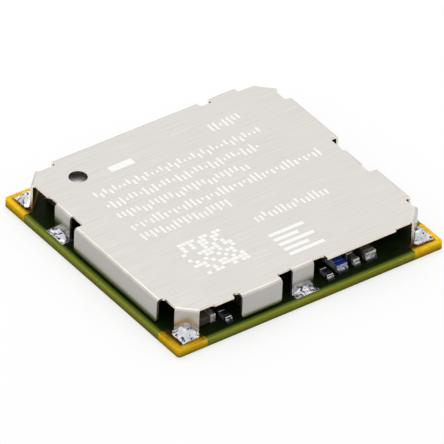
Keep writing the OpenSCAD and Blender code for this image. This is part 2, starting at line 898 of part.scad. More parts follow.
// The copper pads under every part inside the shield
module component_pads() {
    color([0.83, 0.66, 0.24])
        translate([0, 0, board_top])
            linear_extrude(copper_t) {
                for (chip = chips) {
                    size = size_of(chip);
                    translate(chip[1])
                        rotate(chip[2])
                            for (turn = [0, 180])
                                rotate(turn)
                                    translate([size.x / 2 - end_of(chip), -size.y / 2])
                                        square([end_of(chip) + chip_solder_reach, size.y]);
                }
                translate(transceiver_at) {
                    square(paddle_side, center = true);
                    for (turn = [0 : 90 : 270], place = lead_places(transceiver_leads, transceiver_pitch))
                        rotate(turn)
                            translate([place - transceiver_lead_w / 2, -transceiver_side / 2 - pad_margin])
                                square([transceiver_lead_w, transceiver_lead_l + pad_margin]);
                }
                translate(switch_at)
                    for (turn = [0, 180], place = lead_places(switch_leads, switch_pitch))
                        rotate(turn)
                            translate([place - switch_lead_w / 2, -switch_w / 2 - pad_margin])
                                square([switch_lead_w, switch_lead_l + pad_margin]);
                for (x = lead_places(ball_rows, ball_pitch), y = lead_places(ball_rows, ball_pitch))
                    translate([die_at.x + x, die_at.y + y])
                        circle(d = ball_d);
                oscillator_terminal_outline(pad_margin);
                crystal_terminal_outline(pad_margin);
            }
}

module chip_solder() {
    color([0.82, 0.82, 0.82])
        for (chip = chips) {
            size = size_of(chip);
            at_chip(chip)
                for (turn = [0, 180])
                    rotate(turn)
                        translate([size.x / 2, size.y / 2, 0])
                            rotate([90, 0, 0])
                                linear_extrude(size.y)
                                    fillet_section(chip_solder_reach, chip_solder_rise, solder_film);
        }
}

board();
corner_pads();
leg_pads();
edge_lands();
ground_lands();
shield();
corner_solder();
leg_solder();
transceiver_body();
transceiver_leads();
transceiver_paddle();
microcontroller_die();
microcontroller_balls();
oscillator_case();
oscillator_lid();
oscillator_terminals();
crystal_case();
crystal_lid();
crystal_terminals();
switch_body();
switch_leads();
capacitor_bodies();
capacitor_ends();
inductor_bodies();
inductor_ends();
resistor_bodies();
resistor_ends();
component_pads();
chip_solder();
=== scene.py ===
"""Looks of the shielded radio module: its finishes, marks, soldered joints, floor, light and camera.

Sizes are in millimetres unless a name says otherwise. Meshes are made in millimetres and scaled
to Blender's metres when they are finished, so that small bevels stay well above rounding errors.
"""

from __future__ import annotations

import logging
import math
from collections.abc import Callable
from dataclasses import asdict, dataclass, field, replace
from enum import Enum

import bmesh
import bpy
from mathutils import Matrix, Vector, noise


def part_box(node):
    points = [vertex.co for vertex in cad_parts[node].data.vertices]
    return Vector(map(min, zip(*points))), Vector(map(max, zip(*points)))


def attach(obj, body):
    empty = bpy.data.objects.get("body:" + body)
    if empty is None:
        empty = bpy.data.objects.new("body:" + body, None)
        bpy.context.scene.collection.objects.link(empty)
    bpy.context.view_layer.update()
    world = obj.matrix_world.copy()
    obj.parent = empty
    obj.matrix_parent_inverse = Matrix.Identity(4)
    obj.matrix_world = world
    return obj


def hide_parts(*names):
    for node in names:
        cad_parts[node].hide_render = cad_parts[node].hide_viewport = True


LOG = logging.getLogger("radio_module")
MM = 0.001
PER_MM = 1000.0
BODY = "root"
EDGE_MARK = "rounded_edge"
FLAT_SHEET = "flat_sheet"
WHITE = (1.0, 1.0, 1.0)
RISING = (0.0, 1.0)
FALLING = (1.0, 0.0)

Colour = tuple[float, float, float]
Triple = tuple[float, float, float]
Span = tuple[float, float]
Box = tuple[float, float, float, float]
Socket = bpy.types.NodeSocket
Sockets = dict[str, Socket]
Step = Callable[[bpy.types.Object], None]

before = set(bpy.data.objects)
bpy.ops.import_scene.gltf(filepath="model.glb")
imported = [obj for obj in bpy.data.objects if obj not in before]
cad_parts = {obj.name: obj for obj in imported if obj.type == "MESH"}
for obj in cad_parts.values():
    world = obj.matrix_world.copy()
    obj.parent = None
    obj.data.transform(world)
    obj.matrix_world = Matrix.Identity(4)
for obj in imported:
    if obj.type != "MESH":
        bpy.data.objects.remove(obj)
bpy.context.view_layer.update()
BOARD_CORNER = tuple(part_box("board")[1] * PER_MM)


def rgba(colour: Colour) -> tuple[float, float, float, float]:
    """Gives a colour its alpha of one."""
    return (*colour, 1.0)


class Graph:
    """A node tree that is filled in with short calls."""

    # A mix node's inputs by number: the share, the first value and the second.
    NUMBER_MIX = (0, 2, 3)
    COLOUR_MIX = (0, 6, 7)
    MIXED_COLOUR = 2

    def __init__(self, tree: bpy.types.NodeTree) -> None:
        """Empties the tree and keeps it."""
        self.tree = tree
        self.tree.nodes.clear()

    def add(self, kind: str, inputs: dict | None = None, **settings: object) -> bpy.types.Node:
        """Adds a node.

        Args:
            kind: Blender's name for the type of node.
            inputs: Values, or other nodes' outputs, for the inputs, by name or number.
            settings: Values for the node's own properties.

        Returns:
            The new node.
        """
        node = self.tree.nodes.new(kind)
        for name, value in settings.items():
            setattr(node, name, value)
        self.feed(node, inputs or {})
        return node

    def feed(self, node: bpy.types.Node, inputs: dict) -> None:
        """Sets or links a node's inputs.

        Args:
            node: The node.
            inputs: Values, or other nodes' outputs, by the name or number of the input.
        """
        for key, value in inputs.items():
            if isinstance(value, Socket):
                self.tree.links.new(value, node.inputs[key])
            else:
                node.inputs[key].default_value = value

    def combine(self, operation: str, *values: object) -> Socket:
        """Works out a number.

        Args:
            operation: Blender's name for the sum.
            values: The numbers or outputs that go into it.

        Returns:
            The outcome.
        """
        return self.add("ShaderNodeMath", dict(enumerate(values)), operation=operation).outputs[0]

    def combine_places(self, operation: str, *values: object) -> Socket:
        """Works out a place or a direction; see combine."""
        return self.add("ShaderNodeVectorMath", dict(enumerate(values)), operation=operation).outputs[0]

    def blend(self, share: Socket, first: object, second: object) -> Socket:
        """Mixes two colours.

        Args:
            share: How much of the second colour shows, from 0 to 1.
            first: A colour or a colour output.
            second: A colour or a colour output.

        Returns:
            The mixed colour.
        """
        ends = [end if isinstance(end, Socket) else rgba(end) for end in (first, second)]
        inputs = dict(zip(self.COLOUR_MIX, (share, *ends)))
        return self.add("ShaderNodeMix", inputs, data_type="RGBA").outputs[self.MIXED_COLOUR]

    def spread(self, value: Socket, to: Span, start: Span = RISING) -> Socket:
        """Maps a value from one range onto another, and stops at its ends.

        Args:
            value: The output to map.
            to: The range that comes out.
            start: The range that goes in.

        Returns:
            The mapped value.
        """
        limits = {"From Min": start[0], "From Max": start[1], "To Min": to[0], "To Max": to[1]}
        return self.add("ShaderNodeMapRange", {"Value": value, **limits}).outputs["Result"]

    def bump(self, height: Socket, depth: float) -> Socket:
        """Turns a height into a normal.

        Args:
            height: The height, from 0 to 1.
            depth: What a height of one stands for, in millimetres.

        Returns:
            The normal.
        """
        inputs = {"Height": height, "Strength": 1.0, "Distance": depth * MM}
        return self.add("ShaderNodeBump", inputs).outputs["Normal"]

    def noise(self, place: Socket, feature: Socket, detail: float) -> Socket:
        """Adds noise.

        Args:
            place: Where the noise is looked up.
            feature: Size of its features, one for all axes or one for each.
            detail: How many finer layers it has.

        Returns:
            The noise, which stays mostly near one half.
        """
        spot = self.combine_places("DIVIDE", place, feature)
        return self.add("ShaderNodeTexNoise", {"Vector": spot, "Scale": 1.0, "Detail": detail}).outputs[0]

    def position(self) -> Socket:
        """Gives the place on the piece, in millimetres."""
        place = self.add("ShaderNodeTexCoord").outputs["Object"]
        return self.combine_places("MULTIPLY", place, (PER_MM,) * 3)

    def flat_position(self) -> Socket:
        """Gives the place on the sheet before it was folded, in millimetres."""
        return self.add("ShaderNodeUVMap", uv_map=FLAT_SHEET).outputs["UV"]

    def height(self, place: Socket) -> Socket:
        """Gives the upright part of a place or a direction."""
        return self.add("ShaderNodeSeparateXYZ", {"Vector": place}).outputs["Z"]


Fill = Callable[[Graph, Sockets], Sockets]


class Effect(Enum):
    """Effects that several finishes share, each a shader node group."""

    GRAIN = "stretched_grain"
    CLOUDS = "soft_clouds"
    FACETS = "random_facets"
    RUBBED = "rubbed_edges"
    UPWARD = "upward_faces"
    BORDER = "border_distance"


class Effects:
    """Builds the shared node groups once, and places them in the finishes."""

    VECTOR = "NodeSocketVector"
    NUMBER = "NodeSocketFloat"
    FINE_DETAIL = 3.0
    SOFT_DETAIL = 2.0
    GRAIN_RANGE = (0.3, 0.7)
    CLOUD_RANGE = (0.35, 0.65)
    EDGE_SHARE_RANGE = (0.5, 1.0)
    FLAT_RANGE = (0.6, 0.8)

    def __init__(self) -> None:
        """Builds every group."""
        place = {"Position": self.VECTOR}
        sized = {**place, "Size": self.NUMBER}
        self.trees = {
            effect: self._group(effect, inputs, fill)
            for effect, inputs, fill in (
                (Effect.GRAIN, {**place, "Feature": self.VECTOR}, self._grain),
                (Effect.CLOUDS, sized, self._clouds),
                (Effect.FACETS, {**sized, "Share": self.NUMBER}, self._facets),
                (Effect.RUBBED, sized, self._rubbed),
                (Effect.UPWARD, {}, self._upward),
                (Effect.BORDER, {**place, "Corner": self.VECTOR}, self._border),
            )
        }

    def place(self, graph: Graph, effect: Effect, **inputs: object) -> Sockets:
        """Puts a group into a material.

        Args:
            graph: The material's node tree.
            effect: Which group to place.
            inputs: Values or outputs for the group's inputs.

        Returns:
            The group's outputs by name.
        """
        return dict(graph.add("ShaderNodeGroup", inputs, node_tree=self.trees[effect]).outputs.items())

    def _group(self, effect: Effect, inputs: dict[str, str], fill: Fill) -> bpy.types.NodeTree:
        """Builds a group.

        Args:
            effect: Which group this is.
            inputs: Socket types by the names of the inputs.
            fill: The method that adds its nodes, and gives the values that it puts out.

        Returns:
            The group's node tree.
        """
        tree = bpy.data.node_groups.new(effect.value, "ShaderNodeTree")
        for name, kind in inputs.items():
            tree.interface.new_socket(name=name, in_out="INPUT", socket_type=kind)
        graph = Graph(tree)
        made = fill(graph, dict(graph.add("NodeGroupInput").outputs.items()))
        for name in made:
            tree.interface.new_socket(name=name, in_out="OUTPUT", socket_type=self.NUMBER)
        graph.add("NodeGroupOutput", made)
        return tree

    def _grain(self, graph: Graph, given: Sockets) -> Sockets:
        """Adds noise that is stretched to its own size along each axis."""
        fine = graph.noise(given["Position"], given["Feature"], self.FINE_DETAIL)
        return {"Grain": graph.spread(fine, RISING, self.GRAIN_RANGE)}

    def _clouds(self, graph: Graph, given: Sockets) -> Sockets:
        """Adds soft patches of one size."""
        soft = graph.noise(given["Position"], given["Size"], self.SOFT_DETAIL)
        return {"Cloud": graph.spread(soft, RISING, self.CLOUD_RANGE)}

    def _facets(self, graph: Graph, given: Sockets) -> Sockets:
        """Adds small cells, some of them picked out at random, with a height inside each cell.

        Args:
            graph: The group's node tree.
            given: The group's inputs by name.

        Returns:
            The values that it puts out, by name.
        """
        spot = graph.combine_places("DIVIDE", given["Position"], given["Size"])
        cells = graph.add("ShaderNodeTexVoronoi", {"Vector": spot, "Scale": 1.0}).outputs
        tone = graph.add("ShaderNodeSeparateColor", {"Color": cells["Color"]}).outputs["Red"]
        return {"Picked": graph.combine("LESS_THAN", tone, given["Share"]), "Height": cells["Distance"]}

    def _rubbed(self, graph: Graph, given: Sockets) -> Sockets:
        """Adds a mask of the rounded edges, broken up by noise.

        Args:
            graph: The group's node tree.
            given: The group's inputs by name.

        Returns:
            The values that it puts out, by name.
        """
        broken = graph.noise(given["Position"], given["Size"], self.SOFT_DETAIL)
        edge = graph.add("ShaderNodeAttribute", attribute_name=EDGE_MARK).outputs["Fac"]
        share = graph.spread(broken, self.EDGE_SHARE_RANGE, self.CLOUD_RANGE)
        return {"Rub": graph.combine("MULTIPLY", edge, share)}

    def _upward(self, graph: Graph, given: Sockets) -> Sockets:
        """Adds a mask of the faces that lie flat rather than upright."""
        level = graph.height(graph.add("ShaderNodeNewGeometry").outputs["True Normal"])
        return {"Flat": graph.spread(graph.combine("ABSOLUTE", level), RISING, self.FLAT_RANGE)}

    def _border(self, graph: Graph, given: Sockets) -> Sockets:
        """Adds the distance inwards from the sides of a rectangle about the origin.

        Args:
            graph: The group's node tree.
            given: The group's inputs by name.

        Returns:
            The values that it puts out, by name.
        """
        away = graph.combine_places("ABSOLUTE", given["Position"])
        left = graph.combine_places("SUBTRACT", given["Corner"], away)
        parts = graph.add("ShaderNodeSeparateXYZ", {"Vector": left}).outputs
        return {"Distance": graph.combine("MINIMUM", parts["X"], parts["Y"])}


@dataclass(frozen=True)
class Finish:
    """What every finish has: a name, and how smooth and how rough it gets."""

    name: str
    roughness: Span

    def material(self, effects: Effects) -> bpy.types.Material:
        """Makes the material, or finds it again.

        Args:
            effects: The shared node groups.

        Returns:
            The finished material.
        """
        known = bpy.data.materials.get(self.name)
        if known:
            return known
        made = bpy.data.materials.new(self.name)
        made.use_nodes = True
        graph = Graph(made.node_tree)
        shader = graph.add("ShaderNodeBsdfPrincipled")
        graph.add("ShaderNodeOutputMaterial", {"Surface": shader.outputs["BSDF"]})
        graph.feed(shader, self.wire(graph, effects))
        return made

    def wire(self, graph: Graph, effects: Effects) -> dict[str, object]:
        """Builds the nodes of this finish.

        Args:
            graph: The material's node tree.
            effects: The shared node groups.

        Returns:
            Values or outputs by the names of the shader's sockets.
        """
        raise NotImplementedError


@dataclass(frozen=True)
class MetalFinish(Finish):
    """Bare metal with a grain, a cloudy tone, a paler colour on its rounded edges (rubbed wear on some
    finishes, a painted highlight on others) and a tint at glancing angles.
    """

    EDGE_NOISE_PER_CLOUD = 0.3

    light: Colour
    dark: Colour
    rubbed: Colour
    grain: Triple
    grain_depth: float
    cloud: float
    glance: Colour = WHITE

    def place(self, graph: Graph) -> Socket:
        """Gives the place that the grain is laid out by."""
        return graph.position()

    def wire(self, graph: Graph, effects: Effects) -> dict[str, object]:
        """Builds the nodes of this finish.

        Args:
            graph: The material's node tree.
            effects: The shared node groups.

        Returns:
            Values or outputs by the names of the shader's sockets.
        """
        place = self.place(graph)
        edge_noise_size = self.EDGE_NOISE_PER_CLOUD * self.cloud
        grain = effects.place(graph, Effect.GRAIN, Position=place, Feature=self.grain)["Grain"]
        cloud = effects.place(graph, Effect.CLOUDS, Position=place, Size=self.cloud)["Cloud"]
        rub = effects.place(graph, Effect.RUBBED, Position=place, Size=edge_noise_size)["Rub"]
        # Rounded edges take the paler edge colour: rubbed wear on gold and tin, and a painted highlight on
        # the sheet's bends, its cut edges and the dark ends.
        tone = graph.blend(grain, self.dark, self.light)
        return {
            "Base Color": graph.blend(rub, tone, self.rubbed),
            "Roughness": graph.spread(cloud, self.roughness),
            "Normal": graph.bump(grain, self.grain_depth),
            "Metallic": 1.0,
            "Specular Tint": rgba(self.glance),
        }


@dataclass(frozen=True)
class SheetFinish(MetalFinish):
    """Sheet metal that was brushed before it was folded."""

    def place(self, graph: Graph) -> Socket:
        """Gives the place on the flat sheet."""
        return graph.flat_position()


@dataclass(frozen=True, kw_only=True)
class PadFinish(MetalFinish):
    """A plated pad: gold along a band at its edge, painted shade over the rest of its top, and its sides
    worn dull.
    """

    inner_shade: Colour
    band: Span
    rise: Span
    worn: Colour
    worn_height: Span

    def wire(self, graph: Graph, effects: Effects) -> dict[str, object]:
        """Builds the nodes of this finish.

        Args:
            graph: The material's node tree.
            effects: The shared node groups.

        Returns:
            Values or outputs by the names of the shader's sockets.
        """
        made = super().wire(graph, effects)
        place = graph.position()
        border = effects.place(graph, Effect.BORDER, Position=place, Corner=BOARD_CORNER)["Distance"]
        height = graph.height(place)
        # Painted shade over the top inside the gold band.
        inside = graph.spread(border, RISING, self.band)
        inner = graph.combine("MULTIPLY", inside, graph.spread(height, RISING, self.rise))
        tone = graph.blend(graph.spread(height, FALLING, self.worn_height), made["Base Color"], self.worn)
        made["Base Color"] = graph.blend(inner, tone, self.inner_shade)
        return made


@dataclass(frozen=True, kw_only=True)
class CoatedEndFinish(MetalFinish):
    """A tinned end under a coloured coat that covers its top and runs a little way down."""

    coat: Colour
    coat_foot: Span

    def wire(self, graph: Graph, effects: Effects) -> dict[str, object]:
        """Builds the nodes of this finish.

        Args:
            graph: The material's node tree.
            effects: The shared node groups.

        Returns:
            Values or outputs by the names of the shader's sockets.
        """
        made = super().wire(graph, effects)
        covered = graph.spread(graph.height(graph.position()), RISING, self.coat_foot)
        made["Base Color"] = graph.blend(covered, made["Base Color"], self.coat)
        made["Metallic"] = graph.spread(covered, FALLING)
        return made


@dataclass(frozen=True)
class SolderFinish(Finish):
    """Frozen solder: bright, with shaded patches, dark ripples and a darker brown foot."""

    CLOUD_PER_RIPPLE = 3.0

    bright: Colour
    shade: Colour
    ripple: Colour
    foot_tone: Colour
    ripple_size: float
    ripple_share: Span
    ripple_depth: float
    foot: Span

    def wire(self, graph: Graph, effects: Effects) -> dict[str, object]:
        """Builds the nodes of this finish.

        Args:
            graph: The material's node tree.
            effects: The shared node groups.

        Returns:
            Values or outputs by the names of the shader's sockets.
        """
        place = graph.position()
        feature = (self.ripple_size,) * 3
        cloud_size = self.CLOUD_PER_RIPPLE * self.ripple_size
        ripples = effects.place(graph, Effect.GRAIN, Position=place, Feature=feature)["Grain"]
        cloud = effects.place(graph, Effect.CLOUDS, Position=place, Size=cloud_size)["Cloud"]
        foot = graph.spread(graph.height(place), FALLING, self.foot)
        tone = graph.blend(cloud, self.bright, self.shade)
        tone = graph.blend(graph.spread(ripples, RISING, self.ripple_share), self.ripple, tone)
        return {
            "Base Color": graph.blend(foot, tone, self.foot_tone),
            "Roughness": graph.spread(cloud, self.roughness),
            "Normal": graph.bump(ripples, self.ripple_depth),
            "Metallic": 1.0,
        }


@dataclass(frozen=True)
class BoardFinish(Finish):
    """Solder mask, darkened over the top as painted shade and lightening across the border strip towards
    the board's side, and cut laminate at the sides, darkened towards their foot as painted shade, with a
    painted highlight on the rounded edges.
    """

    shaded_mask: Colour
    shaded_mask_thin: Colour
    mask_patch: float
    under: Colour
    bare: Colour
    border: Span
    laminate: Colour
    resin: Colour
    fibre: Colour
    fibre_share: Span
    fibre_range: Span
    edge: Colour
    edge_highlight_patch: float
    foot: Colour
    contact_shade_height: Span
    layer: Triple
    bundle: Triple
    weave_depth: float
    gloss: float

    def wire(self, graph: Graph, effects: Effects) -> dict[str, object]:
        """Builds the nodes of this finish.

        Args:
            graph: The material's node tree.
            effects: The shared node groups.

        Returns:
            Values or outputs by the names of the shader's sockets.
        """
        place = graph.position()
        flat = effects.place(graph, Effect.UPWARD)["Flat"]
        cloud = effects.place(graph, Effect.CLOUDS, Position=place, Size=self.mask_patch)["Cloud"]
        layers = effects.place(graph, Effect.GRAIN, Position=place, Feature=self.layer)["Grain"]
        bundles = effects.place(graph, Effect.GRAIN, Position=place, Feature=self.bundle)["Grain"]
        rub = effects.place(graph, Effect.RUBBED, Position=place, Size=self.edge_highlight_patch)["Rub"]
        border = effects.place(graph, Effect.BORDER, Position=place, Corner=BOARD_CORNER)["Distance"]
        low = graph.spread(graph.height(place), FALLING, self.contact_shade_height)
        # Painted shade: the sides darken towards the bottom, as a contact shadow.
        foot = graph.combine("MULTIPLY", low, graph.spread(flat, FALLING))
        cut = graph.blend(layers, self.resin, self.laminate)
        cut = graph.blend(graph.spread(bundles, self.fibre_share, self.fibre_range), cut, self.fibre)
        # Painted shade: the mask on the top is dark, the underside keeps the lighter mask colour, and the
        # next line lightens the mask across the border strip towards the side.
        cover = graph.blend(low, graph.blend(cloud, self.shaded_mask, self.shaded_mask_thin), self.under)
        cover = graph.blend(graph.spread(border, FALLING, self.border), cover, self.bare)
        # Painted highlight: the rounded edges take the pale edge colour.
        cover = graph.blend(rub, graph.blend(flat, cut, cover), self.edge)
        return {
            "Base Color": graph.blend(foot, cover, self.foot),
            "Roughness": graph.spread(flat, (self.roughness[1], self.roughness[0])),
            "Normal": graph.bump(layers, self.weave_depth),
            "Specular IOR Level": self.gloss,
        }


@dataclass(frozen=True)
class CeramicFinish(Finish):
    """A fired or moulded body with a coated top, and specks of their own on the top and the sides."""

    SPECK_SHARE = 0.3
    CLOUD = 0.35
    RUB = 0.15

    top: Colour
    side: Colour
    speck: Colour
    side_speck: Colour
    speck_size: float
    grain_depth: float

    def wire(self, graph: Graph, effects: Effects) -> dict[str, object]:
        """Builds the nodes of this finish.

        Args:
            graph: The material's node tree.
            effects: The shared node groups.

        Returns:
            Values or outputs by the names of the shader's sockets.
        """
        place = graph.position()
        flat = effects.place(graph, Effect.UPWARD)["Flat"]
        pattern = {"Size": self.speck_size, "Share": self.SPECK_SHARE}
        specks = effects.place(graph, Effect.FACETS, Position=place, **pattern)
        cloud = effects.place(graph, Effect.CLOUDS, Position=place, Size=self.CLOUD)["Cloud"]
        rub = effects.place(graph, Effect.RUBBED, Position=place, Size=self.RUB)["Rub"]
        picked = graph.combine("MULTIPLY", specks["Picked"], cloud)
        top = graph.blend(picked, self.top, self.speck)
        side = graph.blend(picked, self.side, self.side_speck)
        return {
            "Base Color": graph.blend(rub, graph.blend(flat, side, top), self.side),
            "Roughness": graph.spread(cloud, self.roughness),
            "Normal": graph.bump(specks["Height"], self.grain_depth),
        }


@dataclass(frozen=True)
class EtchFinish(Finish):
    """Metal that a laser has frosted pale, with the dots of its passes."""

    PASS_LENGTH = 3.0
    CLOUD = 0.6
    BARE_SHARE = (0.0, 0.35)
    BARE_RANGE = (0.6, 1.0)

    frosted: Colour
    bare: Colour
    pass_width: float

    def wire(self, graph: Graph, effects: Effects) -> dict[str, object]:
        """Builds the nodes of this finish.

        Args:
            graph: The material's node tree.
            effects: The shared node groups.

        Returns:
            Values or outputs by the names of the shader's sockets.
        """
        place = graph.position()
        feature = (self.pass_width, self.PASS_LENGTH * self.pass_width, self.pass_width)
        grain = effects.place(graph, Effect.GRAIN, Position=place, Feature=feature)["Grain"]
        cloud = effects.place(graph, Effect.CLOUDS, Position=place, Size=self.CLOUD)["Cloud"]
        gaps = graph.spread(grain, self.BARE_SHARE, self.BARE_RANGE)
        return {
            "Base Color": graph.blend(gaps, self.frosted, self.bare),
            "Roughness": graph.spread(cloud, self.roughness),
        }


# Brushed sheet; its pale rounded-edge colour is the painted highlight along the bends.
SHEET = SheetFinish(
    name="brushed_sheet",
    roughness=(0.2, 0.27),
    light=(0.48, 0.459, 0.433),
    dark=(0.428, 0.409, 0.386),
    rubbed=(0.70, 0.655, 0.585),
    grain=(2.2, 0.045, 1.0),
    grain_depth=0.0004,
    cloud=2.5,
)
# The shield's sheared edges: pale cream as a painted highlight on the real cut metal.
CUT_EDGE_HIGHLIGHT = MetalFinish(
    name="sheared_edge_painted_highlight",
    roughness=(0.3, 0.42),
    light=(0.93, 0.85, 0.74),
    dark=(0.74, 0.66, 0.54),
    rubbed=(0.95, 0.88, 0.78),
    grain=(0.05, 0.05, 0.4),
    grain_depth=0.001,
    cloud=0.6,
)
# The index hole's wall: a dark copy of the sheared edge, as painted shade.
HOLE_EDGE_SHADE = replace(
    CUT_EDGE_HIGHLIGHT, name="punched_edge_painted_shade", light=(0.13, 0.10, 0.06), dark=(0.05, 0.04, 0.025)
)
ETCH = EtchFinish(
    name="etched_frost",
    roughness=(0.55, 0.7),
    frosted=(0.92, 0.91, 0.88),
    bare=(0.80, 0.79, 0.76),
    pass_width=0.02,
)
GOLD = MetalFinish(
    name="plated_gold",
    roughness=(0.5, 0.65),
    light=(0.76, 0.49, 0.028),
    dark=(0.61, 0.36, 0.014),
    rubbed=(0.72, 0.48, 0.04),
    grain=(0.12, 0.12, 0.12),
    grain_depth=0.003,
    cloud=0.5,
    glance=(1.0, 0.8, 0.3),
)
# Gold pads with painted shade over their tops inside the gold band.
PAD = PadFinish(
    **asdict(replace(GOLD, name="gold_with_painted_shade")),
    inner_shade=(0.12, 0.055, 0.012),
    band=(0.15, 0.28),
    rise=(0.34, 0.37),
    worn=(0.17, 0.125, 0.008),
    worn_height=(0.06, 0.34),
)
# Pads and terminals under the parts: gold darkened to near black as painted shade.
SHADED_PAD = replace(
    GOLD,
    name="pads_in_painted_shade",
    roughness=(0.35, 0.5),
    light=(0.09, 0.08, 0.065),
    dark=(0.03, 0.026, 0.02),
    rubbed=(0.10, 0.09, 0.07),
    glance=WHITE,
)
TIN = MetalFinish(
    name="tinned_ends",
    roughness=(0.5, 0.65),
    light=(1.0, 0.99, 0.96),
    dark=(0.20, 0.20, 0.19),
    rubbed=(0.92, 0.91, 0.88),
    grain=(0.09, 0.09, 0.09),
    grain_depth=0.008,
    cloud=0.25,
)
# The resistors' tinned ends: darkened as painted shade, with painted highlights on their rounded edges.
SHADED_END = replace(
    TIN,
    name="ends_in_painted_shade",
    roughness=(0.3, 0.45),
    light=(0.10, 0.10, 0.11),
    dark=(0.03, 0.03, 0.035),
    rubbed=(0.92, 0.91, 0.89),
    grain=(0.11, 0.11, 0.11),
)
COATED_END = CoatedEndFinish(
    name="coated_ends",
    roughness=(0.5, 0.65),
    light=WHITE,
    dark=(0.30, 0.30, 0.30),
    rubbed=(0.92, 0.92, 0.92),
    grain=(0.08, 0.08, 0.08),
    grain_depth=0.008,
    cloud=0.25,
    coat=(0.015, 0.045, 0.5),
    coat_foot=(0.70, 0.735),
)
LID = MetalFinish(
    name="plated_lid",
    roughness=(0.5, 0.6),
    light=(0.95, 0.86, 0.87),
    dark=(0.88, 0.79, 0.80),
    rubbed=(0.95, 0.86, 0.87),
    grain=(0.6, 0.05, 0.2),
    grain_depth=0.001,
    cloud=0.5,
)
SOLDER = SolderFinish(
    name="frozen_solder",
    roughness=(0.12, 0.28),
    bright=(0.88, 0.88, 0.90),
    shade=(0.50, 0.51, 0.55),
    ripple=(0.06, 0.06, 0.10),
    foot_tone=(0.10, 0.05, 0.015),
    ripple_size=0.15,
    ripple_share=(0.20, 0.34),
    ripple_depth=0.02,
    foot=(0.392, 0.42),
)
EVEN_SOLDER = replace(SOLDER, name="solder_without_dark_foot", foot=(0.0, 0.01))
# A darker, rougher copy of the solder for the chips' joints and the balls: painted shade, nearly black
# over its lower part.
SHADED_SOLDER = replace(
    SOLDER,
    name="solder_in_painted_shade",
    roughness=(0.22, 0.38),
    bright=(0.80, 0.80, 0.78),
    shade=(0.50, 0.50, 0.50),
    ripple=(0.05, 0.05, 0.06),
    foot_tone=(0.03, 0.03, 0.04),
    ripple_size=0.13,
    ripple_share=(0.2, 0.45),
    foot=(0.46, 0.54),
)
BOARD = BoardFinish(
    name="masked_board",
    roughness=(0.32, 0.5),
    shaded_mask=(0.007, 0.014, 0.003),
    shaded_mask_thin=(0.011, 0.020, 0.004),
    mask_patch=0.5,
    under=(0.02, 0.048, 0.006),
    bare=(0.20, 0.27, 0.034),
    border=(0.04, 0.24),
    laminate=(0.29, 0.33, 0.038),
    resin=(0.17, 0.205, 0.02),
    fibre=(0.32, 0.17, 0.018),
    fibre_share=(0.0, 0.8),
    fibre_range=(0.5, 0.85),
    edge=(0.33, 0.36, 0.03),
    edge_highlight_patch=0.4,
    foot=(0.07, 0.068, 0.008),
    contact_shade_height=(0.03, 0.30),
    layer=(1.6, 1.6, 0.035),
    bundle=(0.35, 0.35, 0.05),
    weave_depth=0.003,
    gloss=0.02,
)
MOULD = CeramicFinish(
    name="moulding_compound",
    roughness=(0.5, 0.65),
    top=(0.022, 0.022, 0.024),
    side=(0.028, 0.028, 0.03),
    speck=(0.06, 0.06, 0.065),
    side_speck=(0.06, 0.06, 0.065),
    speck_size=0.03,
    grain_depth=0.002,
)
SILICON = CeramicFinish(
    name="ground_silicon",
    roughness=(0.16, 0.24),
    top=(0.11, 0.105, 0.125),
    side=(0.06, 0.06, 0.07),
    speck=(0.14, 0.135, 0.15),
    side_speck=(0.09, 0.09, 0.10),
    speck_size=0.05,
    grain_depth=0.0005,
)
CASE = CeramicFinish(
    name="case_ceramic_body",
    roughness=(0.4, 0.55),
    top=(0.045, 0.04, 0.038),
    side=(0.05, 0.045, 0.04),
    speck=(0.08, 0.07, 0.065),
    side_speck=(0.08, 0.07, 0.065),
    speck_size=0.04,
    grain_depth=0.002,
)
# The sides are darker than the top: painted shade.
CAPACITOR = CeramicFinish(
    name="capacitor_body_shaded_sides",
    roughness=(0.3, 0.45),
    top=(0.115, 0.088, 0.078),
    side=(0.065, 0.048, 0.04),
    speck=(0.17, 0.13, 0.115),
    side_speck=(0.12, 0.088, 0.065),
    speck_size=0.03,
    grain_depth=0.002,
)
INDUCTOR = CeramicFinish(
    name="inductor_body",
    roughness=(0.2, 0.35),
    top=(0.02, 0.06, 0.52),
    side=(0.55, 0.55, 0.54),
    speck=(0.05, 0.12, 0.6),
    side_speck=(0.44, 0.44, 0.43),
    speck_size=0.05,
    grain_depth=0.002,
)
# Black coated top; the sides are dark grey as painted shade.
RESISTOR = CeramicFinish(
    name="resistor_body_shaded_sides",
    roughness=(0.2, 0.4),
    top=(0.015, 0.015, 0.018),
    side=(0.16, 0.16, 0.155),
    speck=(0.04, 0.04, 0.045),
    side_speck=(0.22, 0.22, 0.21),
    speck_size=0.04,
    grain_depth=0.002,
)


WELD = 0.0001
COPLANAR_DEGREES = 0.5
CREASE_DEGREES = 35.0
WIDE_FACES_LEAD = 100


def mesh_in_mm(node: str) -> bmesh.types.BMesh:
    """Copies a CAD node's mesh, in millimetres, with its flat faces whole again.

    Args:
        node: Name of the CAD node.

    Returns:
        The copy, which to_mesh frees.
    """
    work = bmesh.new()
    work.from_mesh(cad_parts[node].data)
    limit = math.radians(COPLANAR_DEGREES)
    bmesh.ops.scale(work, vec=(PER_MM,) * 3, verts=work.verts)
    bmesh.ops.remove_doubles(work, verts=work.verts, dist=WELD)
    bmesh.ops.dissolve_limit(work, angle_limit=limit, verts=work.verts, edges=work.edges)
    return work


def to_mesh(work: bmesh.types.BMesh, name: str) -> bpy.types.Mesh:
    """Turns a working mesh into a mesh, and frees it.

    Args:
        work: The working mesh.
        name: Name of the new mesh.

    Returns:
        The mesh, with no material yet.
    """
    mesh = bpy.data.meshes.new(name)
    work.to_mesh(mesh)
    work.free()
    return mesh


